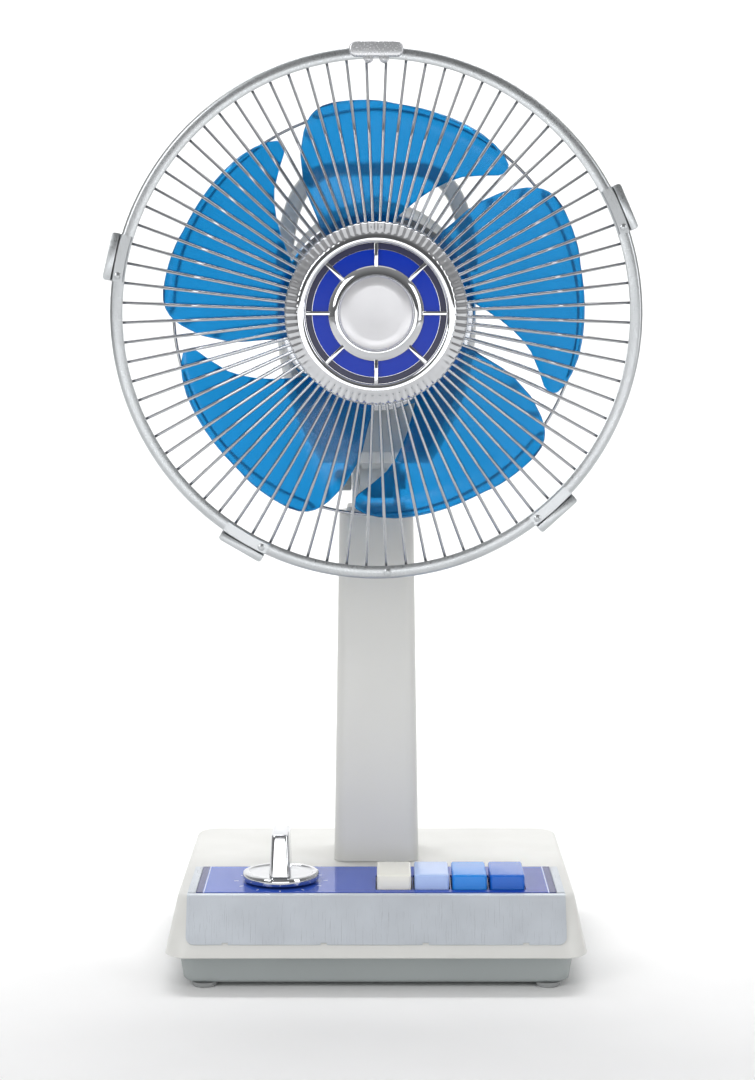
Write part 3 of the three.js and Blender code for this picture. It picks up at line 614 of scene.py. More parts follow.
bm = bmesh.new()
corners = [
    bm.verts.new((trim_low.x, on_slope(trim_low.z), trim_low.z)),
    bm.verts.new((trim_high.x, on_slope(trim_low.z), trim_low.z)),
    bm.verts.new((trim_high.x, on_slope(lip_top), lip_top)),
    bm.verts.new((trim_low.x, on_slope(lip_top), lip_top)),
]
bm.faces.new(corners)
bmesh.ops.bevel(
    bm,
    geom=[
        vert
        for vert in bm.verts
        if vert.co.z < trim_low.z + 0.1 and abs(vert.co.x) > trim_high.x - 0.1
    ],
    offset=5.5,
    segments=6,
    profile=0.5,
    affect="VERTICES",
    material=-1,
)
NOTCHES = (-104, -36, 34, 103)
NOTCH_HALF_WIDTH = 2.2
notch_top = trim_low.z + 1.2
for notch in NOTCHES:
    for side in (-NOTCH_HALF_WIDTH, NOTCH_HALF_WIDTH):
        sliced(bm, (notch + side, 0, 0), X_AXIS)
sliced(bm, (0, 0, notch_top), Z_AXIS)
gone = []
for face in bm.faces:
    centre = face.calc_center_median()
    in_notch = any(abs(centre.x - notch) < NOTCH_HALF_WIDTH for notch in NOTCHES)
    if centre.z < notch_top and in_notch:
        gone.append(face)
bmesh.ops.delete(bm, geom=gone, context="FACES")
fold = [edge for edge in bm.edges if level_at(lip_top)(edge)]
lip = bmesh.ops.extrude_edge_only(bm, edges=fold)["geom"]
bmesh.ops.translate(bm, vec=(0, LIP_BACK - on_slope(lip_top), 0), verts=verts_of(lip))
facing(bm, -1)
eased(
    bm,
    lambda edge: all(
        abs(vert.co.z - lip_top) < 0.01 and vert.co.y < on_slope(lip_top) + 0.1
        for vert in edge.verts
    ),
    1.0,
    3,
)
walled(bm, TRIM_THICKNESS)
RAIL_WIDTH = 5.7
for side in (-1, 1):
    inner = trim_high.x - RAIL_WIDTH
    rail = block(
        (inner, LIP_BACK + 0.1, shell_high.z + 0.3),
        (trim_high.x, panel_high.y, trim_high.z),
    )
    bmesh.ops.scale(rail, vec=(side, 1, 1), verts=rail.verts)
    eased(rail, lambda edge: True, 0.45, 2)
    outward(rail)
    joined(bm, rail)
piece(bm, "aluminium_trim", "base", "brushed_trim", brushed_trim, "front_trim")

# ---- Timer knob ----
# A turned disc with a rolled rim and a grip bar across it, moulded in one and chrome plated.
chromed_plastic = plated("chromed_plastic", (0.62, 0.63, 0.65), 0.06, haze=35, depth=0.000004)
disc_top = knob_low.z + 6
bm = turned(
    (
        (3.3, knob_low.z), (25.4, knob_low.z), (26.6, knob_low.z + 0.6), (27, knob_low.z + 1.8),
        (27, knob_low.z + 4.2), (26.5, knob_low.z + 5.5), (25.4, disc_top), (23.2, disc_top),
        (22.2, disc_top - 0.8), (20.5, disc_top - 1.1), (12, disc_top - 0.7), (3.3, disc_top - 0.6),
    ),
    96,
    closed=True,
    axis="Z",
)
shifted(bm, knob_x, knob_y, 0)
GRIP_HALF_WIDTH = 7.5
GRIP_HALF_LENGTH = 20
GRIP_TOP_WIDTH = 0.8
GRIP_TOP_LENGTH = 0.86
grip = block(
    (knob_x - GRIP_HALF_WIDTH, knob_y - GRIP_HALF_LENGTH, disc_top - 1.2),
    (knob_x + GRIP_HALF_WIDTH, knob_y + GRIP_HALF_LENGTH, knob_high.z),
)
for vert in grip.verts:
    if vert.co.z > disc_top:
        vert.co.x = knob_x + (vert.co.x - knob_x) * GRIP_TOP_WIDTH
        vert.co.y = knob_y + (vert.co.y - knob_y) * GRIP_TOP_LENGTH
eased(grip, upright, 2.8, 5)
eased(grip, level_at(knob_high.z), 1.5, 4)
joined(bm, grip)
piece(bm, "chrome_timer_knob", "timer_knob", "chromed_plastic", chromed_plastic, "timer_knob")

# ---- Push buttons ----
# Four square keys of glossy ABS in cream, pale blue, sky blue and royal blue, with soft edges. Each is
# moulded hollow and slides in its well on a spring.
KEY_FINISHES = {
    "off_button": ("cream_key", (0.84, 0.83, 0.76)),
    "low_button": ("pale_blue_key", (0.42, 0.56, 0.90)),
    "medium_button": ("sky_blue_key", (0.01, 0.25, 0.78)),
    "high_button": ("royal_blue_key", (0.002, 0.13, 0.60)),
}
for name, (slot_name, colour) in KEY_FINISHES.items():
    key_plastic = moulded(slot_name, colour, 0.22, 0.00001, 1500, 0.015)
    key_low, key_high = span(name)
    bm = block(key_low, key_high)
    eased(bm, upright, 2.0, 5)
    eased(bm, level_at(key_high.z), 1.4, 4)
    piece(bm, f"{name}_key", name, slot_name, key_plastic, name)

# ---- Cord gland ----
# A ribbed rubber sleeve in the rear wall of the pan, where the mains lead enters. It clips into its hole.
gland_low, gland_high = span("cord_gland")
gland_x = (gland_low.x + gland_high.x) / 2
gland_z = (gland_low.z + gland_high.z) / 2
gland_face = pan_high.y
bm = turned(
    (
        (3, gland_low.y), (5, gland_low.y), (5, gland_face + 0.3), (7.2, gland_face + 0.3),
        (7.5, gland_face + 0.8), (7.5, gland_face + 2), (6.2, gland_face + 2.6),
        (6.4, gland_face + 3.6), (5.5, gland_face + 4.2), (5.7, gland_face + 5.2),
        (4.8, gland_face + 5.9), (4.6, gland_high.y - 0.3), (4.1, gland_high.y), (3, gland_high.y),
    ),
    40,
    closed=True,
)
shifted(bm, gland_x, 0, gland_z)
piece(bm, "cord_sleeve", "base", "black_plastic", black_plastic, "cord_gland")

# ---- Column ----
# Two ivory half shells that meet at a seam along the sides and taper towards the head. Moulded ABS, clipped
# together round a steel tube that carries the load.
front_low, front_high = span("column_front_shell")
rear_low, rear_high = span("column_rear_shell")
COLUMN_TOP_WIDTH = 27.5 / 31
COLUMN_TOP_FRONT = 17
COLUMN_TOP_BACK = 67
COLUMN_CORNER = 9
COLUMN_WALL = 2.4
column_seam = (front_high.y + rear_low.y) / 2


def column_block():
    bm = block(
        (front_low.x, front_low.y, front_low.z),
        (front_high.x, rear_high.y, front_high.z),
    )
    for vert in bm.verts:
        if vert.co.z > front_high.z - 1:
            vert.co.x *= COLUMN_TOP_WIDTH
            vert.co.y = COLUMN_TOP_FRONT if vert.co.y < column_seam else COLUMN_TOP_BACK
    eased(bm, upright, COLUMN_CORNER, 8)
    underside = [face for face in bm.faces if face.normal.z < -0.9]
    bmesh.ops.delete(bm, geom=underside, context="FACES_ONLY")
    eased(bm, level_at(front_high.z), 1.2, 3)
    return bm


for name, node, place, normal in (
    ("column_front_cover", "column_front_shell", front_high.y, Y_AXIS),
    ("column_rear_cover", "column_rear_shell", rear_low.y, -Y_AXIS),
):
    bm = column_block()
    sliced(bm, (0, place, 0), normal, clear_outer=True)
    walled(bm, COLUMN_WALL)
    piece(bm, name, "base", "ivory_plastic", ivory_plastic, node)
keep("support_tube", steel)

# ---- Tilt hinge ----
# A bracket with two round ears, cast and painted ivory, screwed on top of the tube; a steel pin through
# the ears; and a small ribbed knob that clamps it.
bracket_low, bracket_high = span("tilt_bracket")
EAR_RADIUS = 14
EARS = ((-18, -13), (13, 18))
bracket_plate_top = bracket_low.z + 4
pivot_z = bracket_high.z - EAR_RADIUS
pivot_y = (bracket_low.y + bracket_high.y) / 2
bm = block(bracket_low, (bracket_high.x, bracket_high.y, bracket_plate_top))
eased(bm, upright, 4, 5)
eased(bm, level_at(bracket_plate_top), 1, 3)
for inner, outer in EARS:
    ear = bmesh.new()
    turn = Matrix.Translation((inner, pivot_y, pivot_z)) @ Matrix.Rotation(math.pi / 2, 4, "Y")
    bmesh.ops.create_circle(ear, cap_ends=True, segments=64, radius=EAR_RADIUS, matrix=turn)
    for vert in ear.verts:
        if vert.co.z < pivot_z - 0.01:
            vert.co.y = pivot_y + math.copysign(EAR_RADIUS, vert.co.y - pivot_y)
            vert.co.z = bracket_low.z + 3
    bmesh.ops.remove_doubles(ear, verts=ear.verts, dist=1e-3)
    thickened(ear, (outer - inner, 0, 0))
    eased(ear, lambda edge: abs(edge.verts[0].co.x - edge.verts[1].co.x) < 0.01, 0.7, 3)
    joined(bm, ear)
piece(bm, "hinge_bracket", "base", "ivory_plastic", ivory_plastic, "tilt_bracket")
keep("tilt_pin", steel)


def ribbed(bm, count, height, inner, low, high):
    """Swells a turned shape into ribs beyond this radius and between these places on its axis."""
    for vert in bm.verts:
        radius = math.hypot(vert.co.x, vert.co.z)
        if radius > inner and low < vert.co.y < high:
            swell = height * math.cos(count * math.atan2(vert.co.z, vert.co.x)) / radius
            vert.co.x *= 1 + swell
            vert.co.z *= 1 + swell


bm = turned(
    ((0, 18.6), (6.8, 18.6), (7.4, 19.4), (7.4, 27.5), (6.9, 29.8), (5.8, 30.7), (4, 31), (0, 31)),
    96,
)
ribbed(bm, 16, 0.55, 6.7, 19, 29)
rotated(bm, math.pi / 2, "Z")
shifted(bm, 0, pivot_y, pivot_z)
piece(bm, "clamp_knob", "tilt_knob", "grey_plastic", grey_plastic, "tilt_knob")

# ---- Neck ----
# The tilting neck under the motor: a barrel between the ears and a round collar, cast in one and painted,
# with the post that the head swings on and the lug for the crank link.
neck_top = span("neck")[1].z
collar_bottom = pivot_z + 15.7
collar_top = pivot_z + 31
bm = turned(
    (
        (0, collar_bottom - 8), (9, collar_bottom - 8), (10.5, collar_bottom - 1.5),
        (20.5, collar_bottom), (22, collar_bottom + 0.6), (22.5, collar_bottom + 2),
        (22.5, collar_top - 1.5), (21.8, collar_top - 0.3), (20.5, collar_top), (10, collar_top),
        (10, neck_top - 9.2), (9.3, neck_top - 8.5), (0, neck_top - 8.5),
    ),
    72,
    axis="Z",
)
shifted(bm, 0, pivot_y, 0)
barrel = turned(
    ((4.3, -12.7), (12.9, -12.7), (13.5, -12.1), (13.5, 12.1), (12.9, 12.7), (4.3, 12.7)),
    64,
    closed=True,
)
rotated(barrel, math.pi / 2, "Z")
shifted(barrel, 0, pivot_y, pivot_z)
joined(bm, barrel)
web = block((-12.7, pivot_y - 10, pivot_z + 6), (12.7, pivot_y + 10, collar_bottom + 0.5))
eased(web, upright, 3, 4)
joined(bm, web)
lug = block((0, pivot_y + 2, collar_top - 1), (30, pivot_y + 10, collar_top + 1.4))
eased(lug, upright, 2, 3)
joined(bm, lug)
stub = turned(((0, collar_top), (2.5, collar_top), (2.5, neck_top), (0, neck_top)), 24, axis="Z")
shifted(stub, 26, pivot_y + 6, 0)
joined(bm, stub)
piece(bm, "swivel_neck", "neck", "ivory_plastic", ivory_plastic, "neck")

# ---- Motor and oscillating drive ----
# The shaded-pole motor and its worm drive, closed in by the housing: steel laminations, a copper winding,
# bronze bearings and a moulded worm wheel. The CAD shapes stay and get their own finishes.
for node in ("stator", "rotor", "motor_shaft", "motor_bracket", "gear_plate", "crank_link"):
    keep(node, steel)
keep("stator_winding", copper_winding)
for node in ("front_bearing", "rear_bearing", "swivel_bush"):
    keep(node, brass)
keep("crank_gear", black_plastic)

# ---- Motor housing ----
# Two ivory ABS covers round the motor, split in the plane of the handle: a front cover with a boss for
# the guard, and a domed rear cover with cooling slots. Screws from the rear hold them together.
spin_joint = [joint for joint in frame["joints"] if joint["name"] == "impeller_spin"][0]
HEAD = Vector(spin_joint["pos_m"]) / MM


def outline(points, name):
    """A closed outline in X and Z from Bezier points: each is (place, handle before, handle after)."""
    path = bpy.data.curves.new(name, "CURVE")
    path.dimensions = "3D"
    path.resolution_u = 14
    spline = path.splines.new("BEZIER")
    spline.bezier_points.add(len(points) - 1)
    spline.use_cyclic_u = True
    for point, (place, before, after) in zip(spline.bezier_points, points):
        point.handle_left_type = "FREE"
        point.handle_right_type = "FREE"
        point.co = (place[0], 0, place[1])
        point.handle_left = (before[0], 0, before[1])
        point.handle_right = (after[0], 0, after[1])
    holder = bpy.data.objects.new(name, path)
    bpy.context.scene.collection.objects.link(holder)
    loop = holder.to_mesh()
    bm = bmesh.new()
    bm.from_mesh(loop)
    holder.to_mesh_clear()
    bpy.data.objects.remove(holder)
    bpy.data.curves.remove(path)
    bmesh.ops.remove_doubles(bm, verts=bm.verts, dist=1e-3)
    return bm


HOUSING_OUTLINE = (
    ((-40, -112), (-62, -80), (-30, -112)),
    ((40, -112), (30, -112), (62, -80)),
    ((74, 0), (74, -45), (74, 45)),
    ((0, 82), (42, 82), (-42, 82)),
    ((-74, 0), (-74, 45), (-74, -45)),
)
HOUSING_MIDDLE = -10
WIDEST_FROM = 82
WIDEST_TO = 105
FRONT_ROUNDING = 42
BACK_ROUNDING = 100


def housing_scale(y):
    """How far the housing draws in towards its front and its back."""
    if y < WIDEST_FROM:
        return math.sqrt(1 - ((WIDEST_FROM - y) / FRONT_ROUNDING) ** 2)
    return 1.0 if y <= WIDEST_TO else math.sqrt(1 - ((y - WIDEST_TO) / BACK_ROUNDING) ** 2)


def housing(stations):
    """The housing's skin through these places along the axis, open at both ends, and its two end rings."""
    bm = outline(HOUSING_OUTLINE, "housing_outline")
    shifted(bm, 0, stations[0], 0)
    size = housing_scale(stations[0])
    middle = Vector((0, stations[0], HOUSING_MIDDLE))
    bmesh.ops.scale(
        bm,
        vec=(size, 1, size),
        space=Matrix.Translation(-middle),
        verts=bm.verts,
    )
    ring = bm.edges[:]
    first_ring = ring[:]
    for before, after in zip(stations, stations[1:]):
        grown = bmesh.ops.extrude_edge_only(bm, edges=ring)["geom"]
        ring = edges_of(grown)
        ring_verts = verts_of(grown)
        bmesh.ops.translate(bm, vec=(0, after - before, 0), verts=ring_verts)
        growth = housing_scale(after) / housing_scale(before)
        bmesh.ops.scale(
            bm,
            vec=(growth, 1, growth),
            space=Matrix.Translation((0, 0, -HOUSING_MIDDLE)),
            verts=ring_verts,
        )
    return bm, first_ring, ring


def to_head(bm):
    """Takes a shape from the head's own origin, on the impeller's axis, to its place."""
    shifted(bm, *HEAD)


def cut_by(target, *cutters):
    """Cuts closed shapes out of a finished piece and bakes the result into its mesh."""
    for cutter in cutters:
        bmesh.ops.scale(cutter, vec=(MM, MM, MM), verts=cutter.verts)
        mesh = bpy.data.meshes.new("cutter")
        cutter.to_mesh(mesh)
        cutter.free()
        tool = bpy.data.objects.new("cutter", mesh)
        bpy.context.scene.collection.objects.link(tool)
        step = target.modifiers.new("cut", "BOOLEAN")
        step.operation = "DIFFERENCE"
        step.solver = "EXACT"
        step.object = tool
        bpy.context.view_layer.update()
        view = bpy.context.evaluated_depsgraph_get()
        result = bpy.data.meshes.new_from_object(target.evaluated_get(view))
        target.modifiers.remove(step)
        before = target.data
        target.data = result
        result.name = target.name
        bpy.data.meshes.remove(before)
        bpy.data.objects.remove(tool)
        bpy.data.meshes.remove(mesh)
    target.data.set_sharp_from_angle(angle=math.radians(SMOOTH_BELOW))


def rod(radius, start, end, steps=64, axis="Y"):
    return turned(((0, start), (radius, start), (radius, end), (0, end)), steps, axis=axis)


def neck_cutter():
    cutter = rod(23.5, -132, -87, 72, "Z")
    shifted(cutter, 0, 104, 0)
    to_head(cutter)
    return cutter


bm, front_ring, _ = housing((64.5, 65.3, 66.5, 68.5, 71, 74, 78, 82, 93, 104.2, 104.7))
bmesh.ops.contextual_create(bm, geom=front_ring)
facing(bm, -1)
walled(bm, SHELL_WALL)
boss = turned(
    (
        (5.5, 50), (19, 50), (20, 51), (20, 62.5), (22.5, 64.4), (22.5, 66.5), (14, 67), (14, 82),
        (9.3, 82), (9.3, 74), (5.5, 74),
    ),
    64,
    closed=True,
)
joined(bm, boss)
to_head(bm)
cover = piece(bm, "motor_cover_front", "head", "ivory_plastic", ivory_plastic, "motor_front_cover")
cut_by(cover, neck_cutter())

bm, _, back_ring = housing((105, 105.5, 115, 127, 140, 152, 163, 172, 179, 183, 185))
bmesh.ops.contextual_create(bm, geom=back_ring)
facing(bm, 1)
eased(bm, lambda edge: all(abs(vert.co.y - 185) < 0.01 for vert in edge.verts), 2.5, 4)
walled(bm, SHELL_WALL)
to_head(bm)
cover = piece(bm, "motor_cover_rear", "head", "ivory_plastic", ivory_plastic, "motor_rear_cover")
PULL_KNOB_BACK = 150
stem_cutter = rod(3, 50, 95, 32, "Z")
shifted(stem_cutter, 0, PULL_KNOB_BACK, 0)
to_head(stem_cutter)
SLOT_SPACING = 8
SLOT_HALF_LENGTH = 30
slots = bmesh.new()
for row in range(-4, 5):
    half = SLOT_HALF_LENGTH - abs(row) * 1.5
    slot_z = row * SLOT_SPACING
    slot = block((-half, 176, slot_z - 14), (half, 190, slot_z - 10.5))
    eased(slot, lengthwise, 1.6, 4)
    joined(slots, slot)
to_head(slots)
cut_by(cover, neck_cutter(), stem_cutter, slots)

# ---- Carry handle ----
# An ivory arch over the housing, moulded with it, with softly rounded edges for the hand.
HANDLE_OUTLINE = (
    ((75, 30), (73, 30), (74.5, 75)),
    ((30, 111), (62, 111), (10, 111)),
    ((-30, 111), (-10, 111), (-62, 111)),
    ((-75, 30), (-74.5, 75), (-73, 30)),
    ((-62, 30), (-66, 30), (-62, 70)),
    ((-26, 101), (-53, 101), (-10, 101)),
    ((26, 101), (10, 101), (53, 101)),
    ((62, 30), (62, 70), (66, 30)),
)
HANDLE_FRONT = 84
HANDLE_WIDTH = 20
bm = outline(HANDLE_OUTLINE, "handle_outline")
shifted(bm, 0, HANDLE_FRONT, 0)
bmesh.ops.contextual_create(bm, geom=bm.edges[:])
thickened(bm, (0, HANDLE_WIDTH, 0))
eased(bm, lambda edge: abs(edge.verts[0].co.y - edge.verts[1].co.y) < 0.01, 2.6, 4)
to_head(bm)
piece(bm, "handle_arch", "head", "ivory_plastic", ivory_plastic, "carry_handle")

# ---- Oscillation knob ----
# A chromed push-pull knob on top of the rear cover, on a thin stem that reaches the worm drive.
bm = turned(
    (
        (0, 12), (2.5, 12), (2.5, 77.5), (6, 78), (7.8, 79), (8, 80.5), (6.6, 83), (7.4, 85.6),
        (6.6, 87.4), (4, 88), (0, 88),
    ),
    48,
    axis="Z",
)
shifted(bm, 0, PULL_KNOB_BACK, 0)
to_head(bm)
piece(bm, "pull_knob", "oscillation_knob", "chrome", chromed_plastic, "oscillation_knob")

# ---- Impeller ----
# Five broad swept blades on a deep hub, moulded in one piece of clear blue AS resin, with rounded tips.
# The blades twist from leading to trailing edge. A dark left-handed nut holds the hub on the shaft.
# Along a blade, from hub to tip: the radius, then the chord's middle and half width in degrees.
BLADES = 5
BLADE_STATIONS = (
    (32.5, 113, 20), (46, 108, 20.5), (61, 103, 21.5), (72, 99.5, 23.2), (81, 96.6, 24.8),
    (90, 94.3, 26.3), (98, 92.4, 27.6), (107, 89.9, 28.8), (115, 87.3, 29.8), (124, 83.9, 31.6),
    (132, 80.7, 32.6), (138, 79.3, 32.4), (143, 79.0, 31.0), (146, 79.6, 29.0), (148.2, 80.6, 26.3),
    (149.5, 81.6, 23.2), (150, 82, 20),
)
BLADE_RISE = 17
BLADE_MIDDLE = 20
BLADE_CAMBER = 2.5
BLADE_THICKNESS = 2
CHORD_STEPS = 16
clear_blue, nodes, links, shader = new_finish("clear_blue", (0.012, 0.27, 0.62), 0.12)
shader.inputs["Transmission Weight"].default_value = 0.8
shader.inputs["IOR"].default_value = 1.3
coloured(nodes, links, shader, 9, (0.008, 0.25, 0.58), (0.016, 0.29, 0.66))
hazed(nodes, links, shader, noise(nodes, links, 40), 0.1, 0.2)
roughened(nodes, links, shader, noise(nodes, links, 30), 0.15, 0.0003)
bm = bmesh.new()
rows = len(BLADE_STATIONS)
bmesh.ops.create_grid(bm, x_segments=rows - 1, y_segments=CHORD_STEPS, size=0.5)
for vert in bm.verts:
    radius, middle, half_angle = BLADE_STATIONS[round((vert.co.x + 0.5) * (rows - 1))]
    chord = vert.co.y * 2
    angle = math.radians(middle + chord * half_angle)
    camber = BLADE_CAMBER * (1 - chord * chord)
    vert.co = (
        radius * math.cos(angle),
        BLADE_MIDDLE - BLADE_RISE * chord + camber,
        radius * math.sin(angle),
    )
outward(bm)
walled(bm, BLADE_THICKNESS)
outward(bm)
eased(bm, folded, 0.8, 3)
bmesh.ops.spin(
    bm,
    geom=bm.verts[:] + bm.edges[:] + bm.faces[:],
    cent=(0, 0, 0),
    axis=Y_AXIS,
    angle=math.tau * (BLADES - 1) / BLADES,
    steps=BLADES - 1,
    use_duplicate=True,
)
hub = turned(
    (
        (4.3, 0), (25, 0), (28, 0.6), (32.5, 4), (34, 7.5), (34, 39), (33.2, 40), (31.8, 40),
        (31, 39), (31, 8), (24, 3), (10, 3), (10, 38), (4.3, 38),
    ),
    72,
    closed=True,
)
joined(bm, hub)
outward(bm)
to_head(bm)
piece(bm, "blue_impeller", "rotor", "clear_blue", clear_blue, "impeller")

navy_plastic = moulded("navy_plastic", (0.006, 0.008, 0.05), 0.2, 0.00001)
bm = turned(
    (
        (0, -12), (5, -11.7), (8.5, -10.6), (11.5, -8), (13.4, -4.5), (14, -2), (14, -0.3),
        (4.3, -0.3), (4.3, -8.5), (0, -8.5),
    ),
    48,
)
to_head(bm)
piece(bm, "spinner_nut", "rotor", "navy_plastic", navy_plastic, "spinner")

# ---- Rear guard ----
# Eighty 2 mm steel wires, bent, welded to two hoops and a dished centre plate, and chrome plated. A plastic
# ring nut clamps the plate on the boss of the front cover.
chrome = plated("chrome", (0.46, 0.47, 0.49), 0.12, haze=25, depth=0.000004)
WIRES = 80
WIRE_RADIUS = 1.0
HALF_STEP = math.pi / WIRES


def bent_wire(points, radius, sides=2):
    """One wire, swept along (radius, y) points with eased bends, closed at its ends."""
    path = bpy.data.curves.new("wire", "CURVE")
    path.dimensions = "3D"
    path.bevel_depth = radius
    path.bevel_resolution = sides
    path.use_fill_caps = True
    path.resolution_u = 5
    spline = path.splines.new("NURBS")
    spline.points.add(len(points) - 1)
    for point, (reach, y) in zip(spline.points, points):
        point.co = (reach, y, 0, 1)
    spline.order_u = 3
    spline.use_endpoint_u = True
    holder = bpy.data.objects.new("wire", path)
    bpy.context.scene.collection.objects.link(holder)
    bm = bmesh.new()
    bm.from_mesh(holder.to_mesh())
    holder.to_mesh_clear()
    bpy.data.objects.remove(holder)
    bpy.data.curves.remove(path)
    bmesh.ops.remove_doubles(bm, verts=bm.verts, dist=1e-4)
    outward(bm)
    return bm


def all_round(bm, count, start_angle):
    """Turns one shape to its first place and repeats it evenly round the axis."""
    rotated(bm, start_angle, "Y")
    bmesh.ops.spin(
        bm,
        geom=bm.verts[:] + bm.edges[:] + bm.faces[:],
        cent=(0, 0, 0),
        axis=Y_AXIS,
        angle=math.tau * (count - 1) / count,
        steps=count - 1,
        use_duplicate=True,
    )
    outward(bm)


def hoop(radius, y, wire, steps=160):
    """A round hoop of wire about the axis."""
    section = [
        (
            radius + wire * math.cos(math.radians(turn)),
            y + wire * math.sin(math.radians(turn)),
        )
        for turn in range(0, 360, 45)
    ]
    return turned(section, steps, closed=True)


REAR_PATH = (
    (182, 2.6), (176, 12.5), (164, 33), (154, 49.5), (146, 55.6), (134, 56.4), (105, 58.4),
    (69, 60.9),
)
bm = bent_wire(REAR_PATH, WIRE_RADIUS)
all_round(bm, WIRES, HALF_STEP)
joined(bm, hoop(181.8, 2.6, 1.4))
joined(bm, hoop(147.6, 56.6, 1.2))
plate = turned(
    (
        (20.5, 59.6), (60, 59.6), (63, 60.2), (66, 59.8), (70.5, 59.6), (72, 60.3), (72, 61.4),
        (71, 62.2), (20.5, 62.2),
    ),
    96,
    closed=True,
)
joined(bm, plate)
to_head(bm)
piece(bm, "rear_wire_guard", "head", "chrome", chrome, "rear_guard", sharp=50)

bm = turned(((20.4, 51.5), (28, 51.5), (29.4, 52.6), (29.4, 59.3), (20.4, 59.3)), 96, closed=True)
ribbed(bm, 24, 0.5, 29, 52, 60)
to_head(bm)
piece(bm, "ring_nut", "head", "black_plastic", black_plastic, "guard_nut")

# ---- Front guard ----
# The same eighty wires in front, straight from the rim to a soft bend and then nearly flat to the emblem,
# welded to a hoop at each end and chrome plated.
FRONT_PATH = (
    (181.8, -1.2), (170, -9.9), (150, -24.8), (134, -36.8), (126, -41.6), (116, -43), (90, -46.7),
    (52, -52),
)
bm = bent_wire(FRONT_PATH, WIRE_RADIUS)
all_round(bm, WIRES, HALF_STEP)
joined(bm, hoop(182, -1.3, 1.4))
joined(bm, hoop(52.2, -52.1, 1.2))
to_head(bm)
piece(bm, "front_wire_guard", "head", "chrome", chrome, "front_guard", sharp=50)

# ---- Guard rim ----
# A rolled steel band that holds both guards at their edges, satin plated, with a face turned in over the
# front hoop. A small screw at its lowest point draws its ends together, and a plate with a riveted end
# lies over its face at each snap lever.
satin_silver = plated("satin_silver", (0.52, 0.54, 0.555), 0.3, haze=20, depth=0.000003, grain=2500)
bm = turned(
    (
        (178.5, -6.6), (179.2, -7), (185.2, -7), (186.6, -6.5), (187.4, -5.2), (187.5, -4),
        (187.5, 5.4), (186.9, 6), (185.3, 6), (185.3, -4), (184.8, -5.2), (178.5, -5.2),
    ),
    240,
    closed=True,
)
rim_screw = turned(
    ((0, -8.1), (1.9, -8.0), (2.6, -7.6), (2.8, -7), (2.8, -6.2), (0, -6.2)), 24
)
SCREW_ANGLE = math.radians(-87.5)
shifted(rim_screw, 183 * math.cos(SCREW_ANGLE), 0, 183 * math.sin(SCREW_ANGLE))
joined(bm, rim_screw)
LEVER_ANGLES = (23, 168, 240, 312)
PLATE_REACH = math.radians(5.2)
for angle in LEVER_ANGLES:
    plate = turned(
        ((179.3, -6.9), (187.3, -6.9), (187.3, -7.8), (186.7, -8.4), (180, -8.4), (179.3, -7.8)),
        360,
        closed=True,
    )
    for side in (-1, 1):
        outwards = (-math.sin(PLATE_REACH), 0, side * math.cos(PLATE_REACH))
        sliced(plate, (0, 0, 0), outwards, clear_outer=True)
    far_side = [vert for vert in plate.verts if vert.co.x < 0]
    bmesh.ops.delete(plate, geom=far_side, context="VERTS")
    open_edges = [edge for edge in plate.edges if edge.is_boundary]
    bmesh.ops.holes_fill(plate, edges=open_edges, sides=0)
    boss_side = 1 if angle in (168, 240) else -1
    boss = turned(((0, -9.6), (1.6, -9.5), (2.4, -9), (2.6, -8.2), (2.6, -7.6), (0, -7.6)), 24)
    shifted(boss, 183.3, 0, 12.5 * boss_side)
    joined(plate, boss)
    outward(plate)
    rotated(plate, math.radians(-angle), "Y")
    joined(bm, plate)
to_head(bm)
piece(bm, "rim_band", "head", "satin_silver", satin_silver, "guard_rim", sharp=40)

# ---- Snap levers ----
# Four sprung levers of satin-plated steel that clasp the rim: a side plate, a hook behind the band, and a
# flap to pull it open by. Folded from sheet and pivoted on the rim's edge.
LEVER_HALF_WIDTH = 17
for number, angle in enumerate(LEVER_ANGLES, 1):
    bm = bmesh.new()
    section = (
        (-7, 187.9), (6.5, 187.9), (6.5, 182.6), (8, 182.6), (8, 189.4), (-5.5, 189.4),
        (-5.5, 193.5), (-7, 193.5),
    )
    corners = [bm.verts.new((-LEVER_HALF_WIDTH, along, radius)) for along, radius in section]
    bm.faces.new(corners)
    thickened(bm, (2 * LEVER_HALF_WIDTH, 0, 0))
    eased(
        bm,
        lambda edge: lengthwise(edge)
        and all(vert.co.z > 193 and abs(vert.co.x) > 16 for vert in edge.verts),
        2.2,
        5,
    )
    eased(bm, folded, 0.3, 2)
    rotated(bm, math.radians(90 - angle), "Y")
    to_head(bm)
    node = f"clip_lever_{number}"
    piece(bm, f"snap_lever_{number}", node, "satin_silver", satin_silver, node)

# ---- Top catch ----
# A bright bar riveted on the top of the rim, where the front guard hooks in. Cast zinc, plated, with two
# rivets below it.
catch_low, catch_high = span("top_catch")
CATCH_HALF_LENGTH = 19
CATCH_BOTTOM = 645.5
CATCH_TOP = 656.5
bm = block(
    (-CATCH_HALF_LENGTH, catch_low.y, CATCH_BOTTOM), (CATCH_HALF_LENGTH, catch_high.y, CATCH_TOP)
)
eased(bm, lengthwise, 4.8, 8)
eased(bm, lambda edge: all(abs(vert.co.y - catch_low.y) < 0.01 for vert in edge.verts), 1.4, 4)
for x in (-5.5, 5.5):
    rivet = turned(
        ((0, -12.4), (1.8, -12.2), (3, -11.2), (3.5, -9.6), (3.5, -7.3), (0, -7.3)), 32
    )
    shifted(rivet, x, 0, 178.5)
    to_head(rivet)
    joined(bm, rivet)
catch_zinc = plated("catch_zinc", (0.66, 0.67, 0.69), 0.22, haze=40, depth=0.000004)
catch_zinc.node_tree.nodes["Principled BSDF"].inputs["Metallic"].default_value = 0.6
piece(bm, "catch_bar", "head", "chrome", catch_zinc, "top_catch")

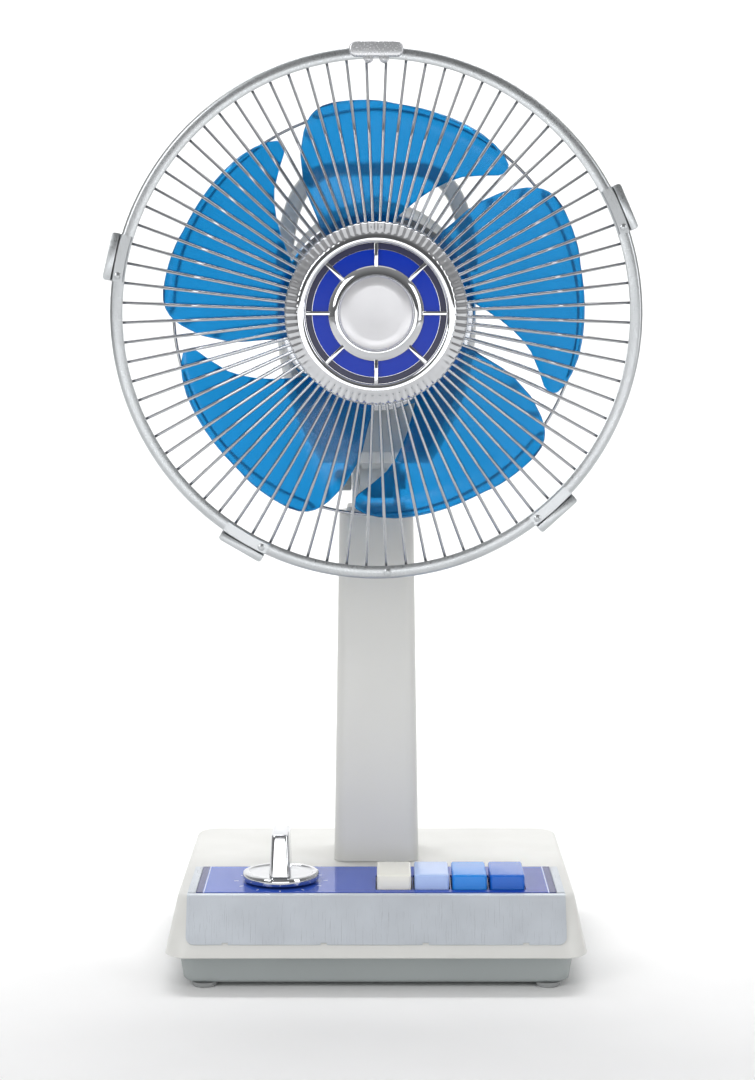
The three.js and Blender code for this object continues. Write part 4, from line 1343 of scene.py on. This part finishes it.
# ---- Guard collar ----
# The fluted chrome ring round the emblem, moulded and plated, that clamps the wires' inner ends. One flute
# for each wire, and a screw and a plate behind the wires hold it.
bm = turned(
    (
        (0, -57.2), (48.5, -57.2), (48.5, -62), (49.2, -62.8), (50.4, -63), (53.4, -63),
        (54.4, -62.7), (56.5, -61.1), (59, -59.2), (61.5, -57.2), (62.6, -56), (62.9, -55),
        (62.9, -53.6), (60, -53.6), (60, -55.7), (5, -55.7), (5, -49.6), (2.1, -49.6), (2.1, -55),
        (0, -55),
    ),
    480,
)
FLUTE_DEPTH = 0.55
for vert in bm.verts:
    radius = math.hypot(vert.co.x, vert.co.z)
    if radius > 54.6 and vert.co.y < -54:
        flute = 0.5 * (1 - math.cos(WIRES * math.atan2(vert.co.z, vert.co.x)))
        vert.co.x *= 1 - FLUTE_DEPTH * flute / radius
        vert.co.z *= 1 - FLUTE_DEPTH * flute / radius
        vert.co.y += FLUTE_DEPTH * flute
to_head(bm)
piece(bm, "fluted_collar", "head", "chromed_plastic", chromed_plastic, "guard_collar", sharp=50)
keep("guard_back_plate", satin_silver)
keep("collar_screw", steel)

# ---- Emblem ----
# A plain badge: a navy ring and a royal blue ring behind a silver spider with eight spokes, and a polished
# disc in the middle. Painted and plated plastic, glued into the collar.
emblem_blue = moulded("emblem_blue", (0.001, 0.03, 0.40), 0.12, 0.00001)
emblem_blue.node_tree.nodes["Principled BSDF"].inputs["Specular IOR Level"].default_value = 0.2
for name, slot_name, finish, node, inner, outer in (
    ("dark_ring", "navy_plastic", navy_plastic, "emblem_dark_ring", 43.9, 48.2),
    ("blue_ring", "blue_panel", emblem_blue, "emblem_blue_ring", 26, 43.6),
):
    section = (
        (inner, -57.5), (inner, -59), (inner + 0.3, -59.2), (outer - 0.3, -59.2), (outer, -59),
        (outer, -57.5),
    )
    bm = turned(section, 128, closed=True)
    to_head(bm)
    piece(bm, name, "head", slot_name, finish, node)

bm = turned(
    (
        (25.6, -59.5), (25.6, -62), (26.4, -62.8), (27.6, -62.8), (29.5, -62.2), (31.8, -60.9),
        (32.6, -60.2), (32.6, -59.5),
    ),
    128,
    closed=True,
)
spoke = block((31.5, -61.2, -1.4), (48.2, -59.5, 1.4))
eased(spoke, lambda edge: all(abs(vert.co.y + 61.2) < 0.01 for vert in edge.verts), 0.5, 3)
all_round(spoke, 8, 0)
joined(bm, spoke)
to_head(bm)
piece(bm, "badge_spider", "head", "chromed_plastic", chromed_plastic, "emblem_spider")

# Painted reflection: the disc is only partly metallic, so the lamps light its grey base, standing in for
# the bright board that the polished disc mirrors.
mirror, nodes, links, shader = new_finish("mirror_disc", (0.6, 0.6, 0.62), 0.2, 0.35)
coloured(nodes, links, shader, 30, (0.56, 0.56, 0.58), (0.63, 0.63, 0.65))
hazed(nodes, links, shader, noise(nodes, links, 60), 0.16, 0.26)
bm = turned(
    (
        (0, -65.6), (8, -65.75), (18, -65.9), (23, -66), (24.6, -65.6), (25.3, -64.6),
        (25.3, -57.5), (0, -57.5),
    ),
    128,
)
to_head(bm)
piece(bm, "badge_disc", "head", "chrome", mirror, "emblem_disc")
